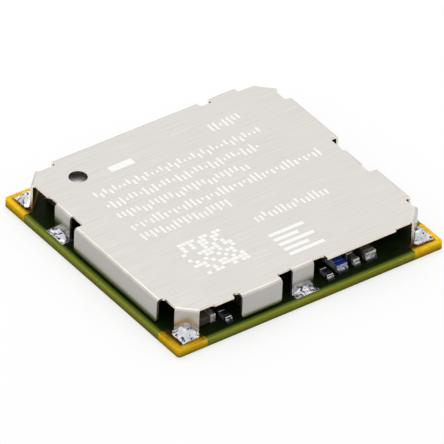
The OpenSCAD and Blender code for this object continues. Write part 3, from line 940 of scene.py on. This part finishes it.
def modifier(kind: str, **settings: object) -> Step:
    """Describes a modifier.

    Args:
        kind: Blender's name for the type of modifier.
        settings: Values for its properties.

    Returns:
        A call that puts the modifier on an object.
    """

    def put(piece: bpy.types.Object) -> None:
        """Puts the modifier on one object.

        Args:
            piece: The object.
        """
        added = piece.modifiers.new(kind.lower(), kind)
        for name, value in settings.items():
            setattr(added, name, value)

    return put


def baked(mesh: bpy.types.Mesh, *steps: Step) -> bpy.types.Mesh:
    """Runs modifiers over a mesh.

    Args:
        mesh: The mesh to start from.
        steps: Calls that each put a modifier on an object.

    Returns:
        The mesh that the modifiers make.
    """
    helper = bpy.data.objects.new("helper", mesh)
    bpy.context.scene.collection.objects.link(helper)
    for step in steps:
        step(helper)
    result = bpy.data.meshes.new_from_object(helper.evaluated_get(bpy.context.evaluated_depsgraph_get()))
    bpy.data.objects.remove(helper)
    return result


def softened(mesh: bpy.types.Mesh, crease: float = CREASE_DEGREES) -> bpy.types.Mesh:
    """Shades a mesh smoothly, with its wide faces setting the normals of the narrow ones.

    Args:
        mesh: The mesh to shade.
        crease: Angle in degrees above which an edge stays sharp.

    Returns:
        The shaded mesh.
    """
    mesh.shade_smooth()
    mesh.set_sharp_from_angle(angle=math.radians(crease))
    return baked(mesh, modifier("WEIGHTED_NORMAL", keep_sharp=True, weight=WIDE_FACES_LEAD))


def finished_piece(name: str, mesh: bpy.types.Mesh) -> bpy.types.Object:
    """Makes a piece of a mesh in millimetres, and lets it ride on the part.

    Args:
        name: Name of the piece.
        mesh: Its mesh, in millimetres.

    Returns:
        The piece, in metres.
    """
    mesh.transform(Matrix.Scale(MM, 4))
    mesh.name = name
    piece = bpy.data.objects.new(name, mesh)
    bpy.context.scene.collection.objects.link(piece)
    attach(piece, BODY)
    return piece


@dataclass(frozen=True)
class Rounded:
    """A CAD node whose edges are rounded over by a small bevel."""

    node: str
    finish: Finish
    bevel: float
    segments: int = 2
    profile: float = 0.5
    sharp_degrees: float = 40.0

    def _mesh(self) -> bpy.types.Mesh:
        """Copies the node with its edges rounded, and marks them for the paler edge colour.

        Returns:
            The mesh, in millimetres.
        """
        work = mesh_in_mm(self.node)
        limit = math.radians(self.sharp_degrees)
        sharp = [edge for edge in work.edges if edge.is_manifold and edge.calc_face_angle() > limit]
        mark = work.loops.layers.float.new(EDGE_MARK)
        made = bmesh.ops.bevel(
            work, geom=sharp, offset=self.bevel, segments=self.segments, profile=self.profile,
            affect="EDGES", clamp_overlap=True,
        )
        for face in made["faces"]:
            for loop in face.loops:
                loop[mark] = 1.0
        return softened(to_mesh(work, self.node))

    def build(self, effects: Effects) -> bpy.types.Object:
        """Makes and dresses the rounded copy, which stands for the node.

        Args:
            effects: The shared node groups.

        Returns:
            The finished piece.
        """
        mesh = self._mesh()
        mesh.materials.append(self.finish.material(effects))
        piece = finished_piece(f"{self.node}_rounded", mesh)
        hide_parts(self.node)
        return piece


class Side(Enum):
    """Sides of the shield, counted round from the front."""

    FRONT = 0
    RIGHT = 1
    REAR = 2
    LEFT = 3

    @property
    def lengthways(self) -> bool:
        """Tells the long sides from the short ones."""
        return self in (Side.FRONT, Side.REAR)


class Edge(Enum):
    """What the plate's edge does along a stretch of a side."""

    FLAP = "folds down"
    SILL = "stays flat"
    NOTCH = "is cut back beside a flap"
    STEP = "is cut back a little beside a sill"
    BAY = "is cut back to the fold of a leg"


class Skin(Enum):
    """Faces of the shield, by the number of their material."""

    SHEET = 0
    CUT = 1
    PUNCHED = 2


@dataclass(frozen=True)
class Stretch:
    """A stretch of a side, up to its end, seen from outside with the left end first.

    The start of its leg counts for a bay alone.
    """

    edge: Edge
    end: float
    leg: float = 0.0


@dataclass(frozen=True)
class Fold:
    """A bend in the sheet: the corners where it starts, how far it drops, and its corner radius."""

    first: int
    last: int
    drop: float
    corner: float = 0.0


@dataclass
class Shield:
    """The folded sheet-metal cover, rebuilt from its flat pattern with smooth bends."""

    sheet: float = 0.1
    bend: float = 0.05
    flap_gap: float = 0.11
    flap_corner: float = 0.14
    notch_round: float = 0.12
    flap_notch: float = 0.33
    sill_notch: float = 0.25
    leg_inset: float = 0.27
    leg_width: float = 1.0
    corner_cut: float = 1.05
    corner_width: float = 0.95
    hole: float = 0.75
    hole_left: float = 2.02
    hole_rear: float = 1.45
    edge_round: float = 0.014
    edge_degrees: float = 50.0
    edge_steps: int = 2
    mark_room: float = 0.003
    wall_area: float = 0.03
    flatness: float = 0.001
    level_normal: float = 0.9999
    upright_normal: float = 0.001
    bend_steps: int = 10
    # Share of each bend that its painted highlight spans.
    bend_highlight_span: float = 0.75
    arc_steps: int = 6
    hole_steps: int = 64
    corner_shifts: dict[Side, float] = field(default_factory=lambda: {
        Side.FRONT: 0.1, Side.RIGHT: 0.0, Side.REAR: -0.1, Side.LEFT: 0.0,
    })
    stretches: dict[Side, list[Stretch]] = field(default_factory=lambda: {
        Side.FRONT: [
            Stretch(Edge.STEP, 1.68),
            Stretch(Edge.SILL, 2.58),
            Stretch(Edge.NOTCH, 2.87),
            Stretch(Edge.FLAP, 4.74),
            Stretch(Edge.BAY, 6.97, leg=5.42),
            Stretch(Edge.SILL, 10.22),
            Stretch(Edge.STEP, 12.0),
        ],
        Side.RIGHT: [
            Stretch(Edge.NOTCH, 1.58),
            Stretch(Edge.FLAP, 3.70),
            Stretch(Edge.BAY, 6.28, leg=4.38),
            Stretch(Edge.FLAP, 9.32),
            Stretch(Edge.NOTCH, 11.1),
        ],
        Side.REAR: [
            Stretch(Edge.NOTCH, 1.58),
            Stretch(Edge.FLAP, 2.78),
            Stretch(Edge.NOTCH, 3.37),
            Stretch(Edge.FLAP, 10.22),
            Stretch(Edge.NOTCH, 12.0),
        ],
        Side.LEFT: [
            Stretch(Edge.NOTCH, 1.85),
            Stretch(Edge.BAY, 4.08, leg=2.40),
            Stretch(Edge.FLAP, 9.52),
            Stretch(Edge.NOTCH, 11.1),
        ],
    })

    def __post_init__(self) -> None:
        """Takes the overall sizes from the CAD parts."""
        low, high = (corner * PER_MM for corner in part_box("shield"))
        self.length = high.x - low.x
        self.width = high.y - low.y
        self.top = high.z - self.mark_room
        self.fold = self.bend + self.sheet
        self.inset = self.leg_inset + self.fold
        self.leg_drop = self.top - low.z
        self.flap_drop = self.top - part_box("board")[1].z * PER_MM - self.flap_gap
        self.depths = {
            Edge.FLAP: self.fold,
            Edge.SILL: self.fold,
            Edge.NOTCH: self.flap_notch,
            Edge.STEP: self.sill_notch,
            Edge.BAY: self.inset,
        }
        self.hole_centre = Vector((self.hole_left - self.length / 2, self.width / 2 - self.hole_rear))
        self.rim: list[Vector] = []
        self.folds: list[Fold] = []
        self.flat: dict[bmesh.types.BMVert, Vector] = {}
        # Painted highlight along the bends, by vertex, from 0 to 1.
        self.rub: dict[bmesh.types.BMVert, float] = {}

    def _put(self, side: Side, along: float, depth: float) -> int:
        """Adds a corner of the flat plate.

        Args:
            side: The side that the corner is measured on.
            along: Distance from the side's left end.
            depth: Distance inwards from the side's outer face.

        Returns:
            The number of the corner.
        """
        run, reach = (self.length, self.width) if side.lengthways else (self.width, self.length)
        place = Vector((along - run / 2, depth - reach / 2))
        place.rotate(Matrix.Rotation(math.pi / 2 * side.value, 2))
        self.rim.append(place)
        return len(self.rim) - 1

    def _corner_end(self, shift: float) -> Span:
        """Finds one end of a corner leg's fold.

        Args:
            shift: How far the leg stands off the middle of the corner, towards this end.

        Returns:
            Its distance from the corner along the side, and its distance inwards.
        """
        diagonal = 1 / math.sqrt(2)
        middle = self.corner_cut / 2 + self.fold * diagonal
        half = (self.corner_width / 2 + shift) * diagonal
        return middle + half, middle - half

    def _quarter(self) -> list[float]:
        """Gives the turns along a quarter of a circle, in radians."""
        return [math.pi / 2 * step / self.arc_steps for step in range(self.arc_steps + 1)]

    def _put_step(self, side: Side, along: float, depths: Span) -> tuple[int, int]:
        """Adds a step in the plate's edge, with a round inner corner.

        Args:
            side: The side that the step is on.
            along: Where the step is.
            depths: Distances of the edge inwards before and after the step.

        Returns:
            The numbers of the step's first and last corners.
        """
        radius = self.notch_round
        inner = max(depths) - radius
        inwards = depths[1] > depths[0]
        away = 1 if inwards else -1
        places = [(along, min(depths))]
        for turn in self._quarter():
            depth = inner + radius * math.sin(turn)
            if depth > min(depths):
                places.append((along + away * radius * (1 - math.cos(turn)), depth))
        numbers = [self._put(side, *place) for place in places[::away]]
        return numbers[0], numbers[-1]

    def _walk_side(self, side: Side, run: float) -> None:
        """Goes along one side, from the corner leg before it to the one after it.

        Args:
            side: The side.
            run: Its length.
        """
        stretches = self.stretches[side]
        depths = [self.depths[stretch.edge] for stretch in stretches]
        along, depth = self._corner_end(self.corner_shifts[side])
        first = self._put(side, along, depth)
        if side is not Side.FRONT:
            self.folds.append(Fold(first - 1, first, self.leg_drop))
        start = self._put(side, along + abs(depths[0] - depth), depths[0])
        for number, stretch in enumerate(stretches):
            if stretch.edge is Edge.BAY:
                leg = self._put(side, stretch.leg, self.inset)
                end = self._put(side, stretch.leg + self.leg_width, self.inset)
                self.folds.append(Fold(leg, end, self.leg_drop))
            if number + 1 < len(stretches):
                last, after = self._put_step(side, stretch.end, (depths[number], depths[number + 1]))
                if stretch.edge is Edge.FLAP:
                    self.folds.append(Fold(start, last, self.flap_drop, self.flap_corner))
                start = after
        following = Side((side.value + 1) % len(Side))
        along, depth = self._corner_end(-self.corner_shifts[following])
        self._put(side, run - along - abs(depths[-1] - depth), depths[-1])
        self._put(side, run - along, depth)

    def _walk(self) -> None:
        """Goes once round the flat plate and notes its corners and folds."""
        for side in Side:
            self._walk_side(side, self.length if side.lengthways else self.width)
        self.folds.append(Fold(len(self.rim) - 1, 0, self.leg_drop))

    def _plate(self, work: bmesh.types.BMesh) -> list[bmesh.types.BMVert]:
        """Fills the flat plate round the index hole.

        Args:
            work: The mesh to add to.

        Returns:
            The plate's corners, in order.
        """
        turns = (2 * math.pi * step / self.hole_steps for step in range(self.hole_steps))
        around = (Vector((math.cos(turn), math.sin(turn))) for turn in turns)
        ring = [self.hole_centre + self.hole / 2 * direction for direction in around]
        corners = [work.verts.new((*place, self.top)) for place in self.rim]
        holes = [work.verts.new((*place, self.top)) for place in ring]
        edges = []
        for loop in (corners, holes):
            edges += [work.edges.new((loop[i - 1], loop[i])) for i in range(len(loop))]
        bmesh.ops.triangle_fill(work, use_beauty=True, edges=edges, normal=(0.0, 0.0, 1.0))
        return corners

    def _foot(self, fold: Fold, width: float) -> list[Span]:
        """Lays out the lower edge of a tab, with round corners where the fold has them.

        Args:
            fold: The fold that the tab hangs from.
            width: Width of the tab.

        Returns:
            Distances along the tab and down from its bend.
        """
        wall = fold.drop - self.fold
        radius = fold.corner
        if not radius:
            return [(0.0, wall), (width, wall)]
        turns = self._quarter()
        left = [(radius * (1 - math.cos(turn)), wall - radius * (1 - math.sin(turn))) for turn in turns]
        return left + [(width - along, drop) for along, drop in reversed(left)]

    def _fold(self, work: bmesh.types.BMesh, fold: Fold, corners: list[bmesh.types.BMVert]) -> None:
        """Bends one tab down from the plate.

        Args:
            work: The mesh to add to.
            fold: The fold.
            corners: The plate's corners, in order.
        """
        pair = [corners[fold.last], corners[fold.first]]
        along = (pair[0].co - pair[1].co).normalized()
        outward = Vector((along.y, -along.x, 0.0))
        starts = [vertex.co.copy() for vertex in pair]
        for step in range(1, self.bend_steps + 1):
            share = step / self.bend_steps
            turn = math.pi / 2 * share
            shift = outward * self.fold * math.sin(turn) - Vector((0, 0, self.fold * (1 - math.cos(turn))))
            row = [work.verts.new(start + shift) for start in starts]
            for vertex, start in zip(row, starts):
                self.flat[vertex] = start.xy + outward.xy * self.fold * turn
                # Painted highlight along the bend: a sine that rises and falls over the first part of the
                # bend, and is zero beyond.
                self.rub[vertex] = math.sin(math.pi * min(1.0, share / self.bend_highlight_span))
            work.faces.new((pair[0], pair[1], row[1], row[0]))
            pair = row
        foot = []
        for x, drop in self._foot(fold, (starts[0] - starts[1]).length):
            vertex = work.verts.new(pair[1].co + along * x - Vector((0, 0, drop)))
            self.flat[vertex] = self.flat[pair[1]] + along.xy * x + outward.xy * drop
            foot.append(vertex)
        work.faces.new((pair[0], pair[1], *foot))

    def _surface(self) -> bpy.types.Mesh:
        """Folds the sheet's outer surface, and keeps its flat pattern and the painted highlight along its
        bends.

        Returns:
            The surface, in millimetres.
        """
        self._walk()
        work = bmesh.new()
        corners = self._plate(work)
        for fold in self.folds:
            self._fold(work, fold, corners)
        mark = work.loops.layers.float.new(EDGE_MARK)
        layer = work.loops.layers.uv.new(FLAT_SHEET)
        for face in work.faces:
            for loop in face.loops:
                loop[mark] = self.rub.get(loop.vert, 0.0)
                loop[layer].uv = self.flat.get(loop.vert, loop.vert.co.xy)
        return to_mesh(work, "shield_sheet")

    def _thicken(self, mesh: bpy.types.Mesh) -> bpy.types.Mesh:
        """Gives the surface its thickness and takes its edges off, and keeps the plate flat.

        Args:
            mesh: The outer surface, with its materials.

        Returns:
            The sheet.
        """
        mesh = baked(
            mesh,
            modifier("SOLIDIFY", thickness=self.sheet, offset=-1.0, use_even_offset=True,
                     use_quality_normals=True, material_offset_rim=Skin.CUT.value),
            modifier("BEVEL", width=self.edge_round, segments=self.edge_steps, limit_method="ANGLE",
                     angle_limit=math.radians(self.edge_degrees)),
        )
        for vertex in mesh.vertices:
            if vertex.co.z > self.top - self.flatness:
                vertex.co.z = self.top
        # The hole's wall takes the dark painted-shade finish.
        for face in mesh.polygons:
            in_hole = (face.center.xy - self.hole_centre).length < self.hole
            if in_hole and face.material_index == Skin.CUT.value:
                face.material_index = Skin.PUNCHED.value
        mesh.update()
        return mesh

    def _is_level(self, normal: Vector, area: float) -> bool:
        """Tells the plate and the walls from the bends and the edges.

        Args:
            normal: A face's normal.
            area: Its area.

        Returns:
            Whether the face is part of the plate or a wall.
        """
        rise = abs(normal.z)
        return rise > self.level_normal or (rise < self.upright_normal and area > self.wall_area)

    def _shade(self, mesh: bpy.types.Mesh) -> None:
        """Keeps the plate and the walls evenly shaded, and lets the bends between them turn smoothly.

        Args:
            mesh: The cover's mesh, in millimetres.
        """
        limit = math.cos(math.radians(CREASE_DEGREES))
        faces = [(face.normal.copy(), face.area) for face in mesh.polygons]
        level = [self._is_level(*face) for face in faces]
        around: list[list[int]] = [[] for _ in mesh.vertices]
        for face in mesh.polygons:
            for vertex in face.vertices:
                around[vertex].append(face.index)
        normals = [Vector()] * len(mesh.loops)
        for face in mesh.polygons:
            own = faces[face.index][0]
            for corner in face.loop_indices:
                if level[face.index]:
                    normals[corner] = own
                    continue
                near = [i for i in around[mesh.loops[corner].vertex_index] if faces[i][0].dot(own) > limit]
                leading = [i for i in near if level[i]] or near
                normals[corner] = sum((faces[i][0] * faces[i][1] for i in leading), Vector()).normalized()
        mesh.shade_smooth()
        mesh.normals_split_custom_set(normals)

    def build(self, effects: Effects) -> bpy.types.Object:
        """Makes and dresses the cover, which stands for its node.

        Args:
            effects: The shared node groups.

        Returns:
            The finished piece.
        """
        finishes = {Skin.SHEET: SHEET, Skin.CUT: CUT_EDGE_HIGHLIGHT, Skin.PUNCHED: HOLE_EDGE_SHADE}
        mesh = self._surface()
        for skin in Skin:
            mesh.materials.append(finishes[skin].material(effects))
        mesh = self._thicken(mesh)
        self._shade(mesh)
        piece = finished_piece("shield_sheet", mesh)
        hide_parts("shield")
        return piece


class Tick(Enum):
    """Heights of a tick, as shares of a row: where it starts and where it ends."""

    FULL = (0.0, 1.0)
    UPPER = (0.34, 1.0)
    LOWER = (0.0, 0.66)
    SHORT = (0.34, 0.66)


@dataclass(frozen=True)
class MarkRow:
    """A row of ticks: where it starts and ends, and its foot."""

    start: float
    end: float
    foot: float


@dataclass
class EtchedMarks:
    """Plain marks that a laser has frosted on the shield: a bar, rows of ticks and two blocks.

    A rectangle is given as left, foot, right and top. The strides and the cycle vary the ticks.
    """

    depth: float = 0.008
    rise: float = 0.0028
    row_height: float = 0.5
    tick: float = 0.1
    tick_pitch: float = 0.22
    column_stride: int = 3
    row_stride: int = 5
    cycle: int = 7
    bar: Box = (-2.72, 3.62, -1.6, 3.97)
    rows: tuple[MarkRow, ...] = (
        MarkRow(2.1, 3.8, 3.6),
        MarkRow(-4.15, 3.8, 2.45),
        MarkRow(-4.15, 3.2, 1.65),
        MarkRow(-4.15, 2.2, 0.85),
        MarkRow(-4.15, 5.0, 0.07),
        MarkRow(-4.15, 0.2, -0.7),
        MarkRow(0.1, 3.8, -2.1),
    )
    dots: int = 11
    dot_pitch: float = 0.2
    dot: float = 0.18
    dot_corner: Span = (-3.6, -3.75)
    ladder: Box = (-0.1, -4.5, 1.55, -2.8)
    ladder_bars: int = 5
    ladder_fill: float = 0.55
    ladder_cut: float = 0.3

    def _ticks(self) -> list[Box]:
        """Lays out the rows of ticks.

        Returns:
            Their rectangles.
        """
        kinds = list(Tick)
        made = []
        for number, row in enumerate(self.rows):
            for column in range(int((row.end - row.start) / self.tick_pitch)):
                mixed = column * column + self.column_stride * column + self.row_stride * number
                kind = kinds[mixed % self.cycle % len(kinds)]
                low, high = (share * self.row_height for share in kind.value)
                left = row.start + column * self.tick_pitch
                made.append((left, row.foot + low, left + self.tick, row.foot + high))
        return made

    def _blocks(self) -> list[Box]:
        """Lays out the block of dots and the ladder of bars.

        Returns:
            Their rectangles.
        """
        made = []
        for row in range(self.dots):
            for column in range(self.dots):
                if noise.cell(Vector((row, column, 0.0))) > 0.0:
                    left = self.dot_corner[0] + column * self.dot_pitch
                    foot = self.dot_corner[1] + row * self.dot_pitch
                    made.append((left, foot, left + self.dot, foot + self.dot))
        left, foot, right, top = self.ladder
        pitch = (top - foot) / self.ladder_bars
        for bar in range(self.ladder_bars):
            shorter = self.ladder_cut * (right - left) * (bar % 2)
            low = foot + bar * pitch
            made.append((left, low, right - shorter, low + self.ladder_fill * pitch))
        return made

    def _mesh(self, top: float) -> bpy.types.Mesh:
        """Makes every mark a thin plate, let into the shield.

        Args:
            top: Height of the marks' upper faces.

        Returns:
            The mesh, in millimetres.
        """
        work = bmesh.new()
        for left, foot, right, high in [self.bar, *self._ticks(), *self._blocks()]:
            places = ((left, foot), (right, foot), (right, high), (left, high))
            upper = [work.verts.new((x, y, top)) for x, y in places]
            lower = [work.verts.new((x, y, top - self.depth)) for x, y in places]
            work.faces.new(upper)
            work.faces.new(lower[::-1])
            for i in range(len(places)):
                work.faces.new((upper[i - 1], lower[i - 1], lower[i], upper[i]))
        return softened(to_mesh(work, "etched_marks"))

    def build(self, effects: Effects, plate: float) -> bpy.types.Object:
        """Makes and dresses all the marks as one piece.

        Args:
            effects: The shared node groups.
            plate: Height of the shield's plate.

        Returns:
            The finished piece.
        """
        mesh = self._mesh(plate + self.rise)
        mesh.materials.append(ETCH.material(effects))
        return finished_piece("etched_marks", mesh)


@dataclass
class SolderJoints:
    """The lumpy solder at the shield's legs."""

    voxel: float = 0.02
    smoothing: float = 0.5
    smooth_steps: int = 3
    lump: float = 0.16
    lump_height: float = 0.03
    ripple: float = 0.06
    ripple_height: float = 0.012
    skin: float = 0.04
    crease_degrees: float = 80.0

    def _mesh(self, node: str) -> bpy.types.Mesh:
        """Copies a node's joints with a lumpy, rippled surface, inside the node's box.

        Args:
            node: Name of the CAD node.

        Returns:
            The mesh, in millimetres.
        """
        mesh = baked(
            to_mesh(mesh_in_mm(node), node),
            modifier("REMESH", mode="VOXEL", voxel_size=self.voxel, use_smooth_shade=True),
            modifier("SMOOTH", factor=self.smoothing, iterations=self.smooth_steps),
        )
        low, high = (corner * PER_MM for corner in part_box(node))
        normals = [vertex.normal.copy() for vertex in mesh.vertices]
        for vertex, normal in zip(mesh.vertices, normals):
            swell = self.lump_height * noise.noise(vertex.co / self.lump)
            swell += self.ripple_height * noise.noise(vertex.co / self.ripple)
            free = min(1.0, max(0.0, (vertex.co.z - low.z) / self.skin))
            place = vertex.co + normal * swell * free
            vertex.co = [min(max(p, a), b) for p, a, b in zip(place, low, high)]
        return softened(mesh, self.crease_degrees)

    def build(self, node: str, finish: Finish, effects: Effects) -> bpy.types.Object:
        """Makes and dresses the joints of one node, which they stand for.

        Args:
            node: Name of the CAD node.
            finish: What the solder looks like.
            effects: The shared node groups.

        Returns:
            The finished piece.
        """
        mesh = self._mesh(node)
        mesh.materials.append(finish.material(effects))
        piece = finished_piece(f"{node}_lumps", mesh)
        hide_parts(node)
        return piece


ROUNDED = (
    Rounded("board", BOARD, 0.02),
    Rounded("corner_pads", PAD, 0.014),
    Rounded("leg_pads", EVEN_SOLDER, 0.01),
    Rounded("edge_lands", GOLD, 0.01),
    Rounded("ground_lands", GOLD, 0.01),
    Rounded("component_pads", SHADED_PAD, 0.008),
    Rounded("transceiver_body", MOULD, 0.03),
    Rounded("transceiver_leads", TIN, 0.012),
    Rounded("transceiver_paddle", TIN, 0.015),
    Rounded("microcontroller_die", SILICON, 0.01),
    Rounded("oscillator_case", CASE, 0.02),
    Rounded("oscillator_lid", LID, 0.025),
    Rounded("oscillator_terminals", SHADED_PAD, 0.01),
    Rounded("crystal_case", CASE, 0.02),
    Rounded("crystal_lid", LID, 0.025),
    Rounded("crystal_terminals", SHADED_PAD, 0.01),
    Rounded("switch_body", MOULD, 0.02),
    Rounded("switch_leads", TIN, 0.01),
    Rounded("capacitor_bodies", CAPACITOR, 0.02),
    Rounded("capacitor_ends", TIN, 0.03),
    Rounded("inductor_bodies", INDUCTOR, 0.02),
    Rounded("inductor_ends", COATED_END, 0.03),
    Rounded("resistor_bodies", RESISTOR, 0.02),
    Rounded("resistor_ends", SHADED_END, 0.03),
)
LUMPY = {"corner_solder": SOLDER, "leg_solder": EVEN_SOLDER}
AS_IN_CAD = {"microcontroller_balls": SHADED_SOLDER, "chip_solder": SHADED_SOLDER}


@dataclass(frozen=True)
class Lamp:
    """A soft lamp: the direction it shines from, its distance, width and power."""

    name: str
    direction: Triple
    distance: float
    width: float
    watts: float


@dataclass
class Studio:
    """The pale floor, the soft light and the camera at the photograph's angle.

    The clip range of the camera is in metres, and its angles are in degrees.
    """

    floor_width: float = 600.0
    floor_colour: Colour = (0.95, 0.95, 0.95)
    floor_white: float = 0.65
    sky: Span = (0.15, 1.2)
    lamps: tuple[Lamp, ...] = (
        Lamp("key_lamp", (0.40, 0.55, 0.73), 150.0, 150.0, 0.035),
        Lamp("top_lamp", (0.08, 0.30, 0.95), 150.0, 160.0, 0.026),
        Lamp("side_lamp", (-0.85, -0.15, 0.50), 150.0, 120.0, 0.008),
    )
    azimuth: float = -37.036
    elevation: float = 36.846
    roll: float = 2.107
    distance: float = 346.36
    target: Triple = (-0.113, -0.073, 0.353)
    focal_pixels: float = 9000.0
    picture_pixels: float = 444.0
    sensor: float = 36.0
    clip: Span = (0.01, 10.0)

    @staticmethod
    def _seen(graph: Graph) -> Socket:
        """Tells rays that show the background, directly, mirrored or through glass, from rays that light.

        Args:
            graph: The node tree of the floor or the world.

        Returns:
            One for a ray that shows the background, and otherwise zero.
        """
        path = graph.add("ShaderNodeLightPath").outputs
        seen = path["Is Camera Ray"]
        for ray in ("Is Glossy Ray", "Is Transmission Ray"):
            seen = graph.combine("MAXIMUM", seen, path[ray])
        return seen

    def _floor(self) -> None:
        """Lays the floor under the part."""
        half = self.floor_width / 2 * MM
        corners = [(-half, -half, 0.0), (half, -half, 0.0), (half, half, 0.0), (-half, half, 0.0)]
        mesh = bpy.data.meshes.new("floor")
        mesh.from_pydata(corners, [], [range(len(corners))])
        material = bpy.data.materials.new("pale_floor")
        material.use_nodes = True
        graph = Graph(material.node_tree)
        paper = graph.add("ShaderNodeBsdfDiffuse", {"Color": rgba(self.floor_colour)})
        white = graph.add("ShaderNodeEmission", {"Color": rgba(WHITE), "Strength": 1.0})
        share = graph.spread(self._seen(graph), (0.0, self.floor_white))
        mix = graph.add("ShaderNodeMixShader", {0: share, 1: paper.outputs[0], 2: white.outputs[0]})
        graph.add("ShaderNodeOutputMaterial", {"Surface": mix.outputs[0]})
        mesh.materials.append(material)
        floor = bpy.data.objects.new("floor", mesh)
        bpy.context.scene.collection.objects.link(floor)

    def _world(self) -> None:
        """Surrounds the part with white that lights it softly."""
        world = bpy.data.worlds.new("white_room")
        world.use_nodes = True
        graph = Graph(world.node_tree)
        direction = graph.add("ShaderNodeTexCoord").outputs["Generated"]
        soft = graph.spread(graph.height(direction), self.sky)
        ends = dict(zip(graph.NUMBER_MIX, (self._seen(graph), soft, 1.0)))
        strength = graph.add("ShaderNodeMix", ends, data_type="FLOAT").outputs[0]
        light = graph.add("ShaderNodeBackground", {"Color": rgba(WHITE), "Strength": strength})
        graph.add("ShaderNodeOutputWorld", {"Surface": light.outputs["Background"]})
        bpy.context.scene.world = world

    def _hang(self, lamp: Lamp) -> None:
        """Hangs a lamp so that it shines at the part.

        Args:
            lamp: The lamp.
        """
        light = bpy.data.lights.new(lamp.name, "AREA")
        light.shape = "DISK"
        light.size = lamp.width * MM
        light.energy = lamp.watts
        holder = bpy.data.objects.new(lamp.name, light)
        away = Vector(lamp.direction).normalized()
        holder.location = away * lamp.distance * MM
        holder.rotation_euler = away.to_track_quat("Z", "Y").to_euler()
        bpy.context.scene.collection.objects.link(holder)

    def _camera(self) -> None:
        """Sets up the camera as the photograph was taken."""
        turn, rise, tilt = (math.radians(angle) for angle in (self.azimuth, self.elevation, self.roll))
        back = Vector((math.sin(turn) * math.cos(rise), -math.cos(turn) * math.cos(rise), math.sin(rise)))
        level = Vector((0.0, 0.0, 1.0)).cross(back).normalized()
        upright = back.cross(level)
        across = math.cos(tilt) * level + math.sin(tilt) * upright
        above = math.cos(tilt) * upright - math.sin(tilt) * level
        camera = bpy.data.cameras.new("camera")
        camera.sensor_width = self.sensor
        camera.lens = self.focal_pixels / self.picture_pixels * self.sensor
        camera.clip_start, camera.clip_end = self.clip
        holder = bpy.data.objects.new("camera", camera)
        place = (Vector(self.target) + back * self.distance) * MM
        axes = Matrix((across, above, back)).transposed().to_4x4()
        holder.matrix_world = Matrix.Translation(place) @ axes
        bpy.context.scene.collection.objects.link(holder)
        bpy.context.scene.camera = holder

    def build(self) -> None:
        """Builds everything round the part."""
        self._floor()
        self._world()
        for lamp in self.lamps:
            self._hang(lamp)
        self._camera()
        bpy.context.scene.view_settings.view_transform = "Standard"


def report(piece: bpy.types.Object) -> None:
    """Reports a finished piece in the log."""
    LOG.info("%s: %d faces", piece.name, len(piece.data.polygons))


def main() -> None:
    """Builds the studio, the shield, the solder and all other pieces."""
    logging.basicConfig(level=logging.INFO, format="%(name)s: %(message)s")
    Studio().build()
    effects = Effects()
    shield = Shield()
    report(shield.build(effects))
    report(EtchedMarks().build(effects, shield.top))
    solder = SolderJoints()
    for node, finish in LUMPY.items():
        report(solder.build(node, finish, effects))
    for rounded in ROUNDED:
        report(rounded.build(effects))
    for node, finish in AS_IN_CAD.items():
        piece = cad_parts[node]
        piece.data.materials.clear()
        piece.data.materials.append(finish.material(effects))
        report(piece)


if __name__ == "__main__":
    main()
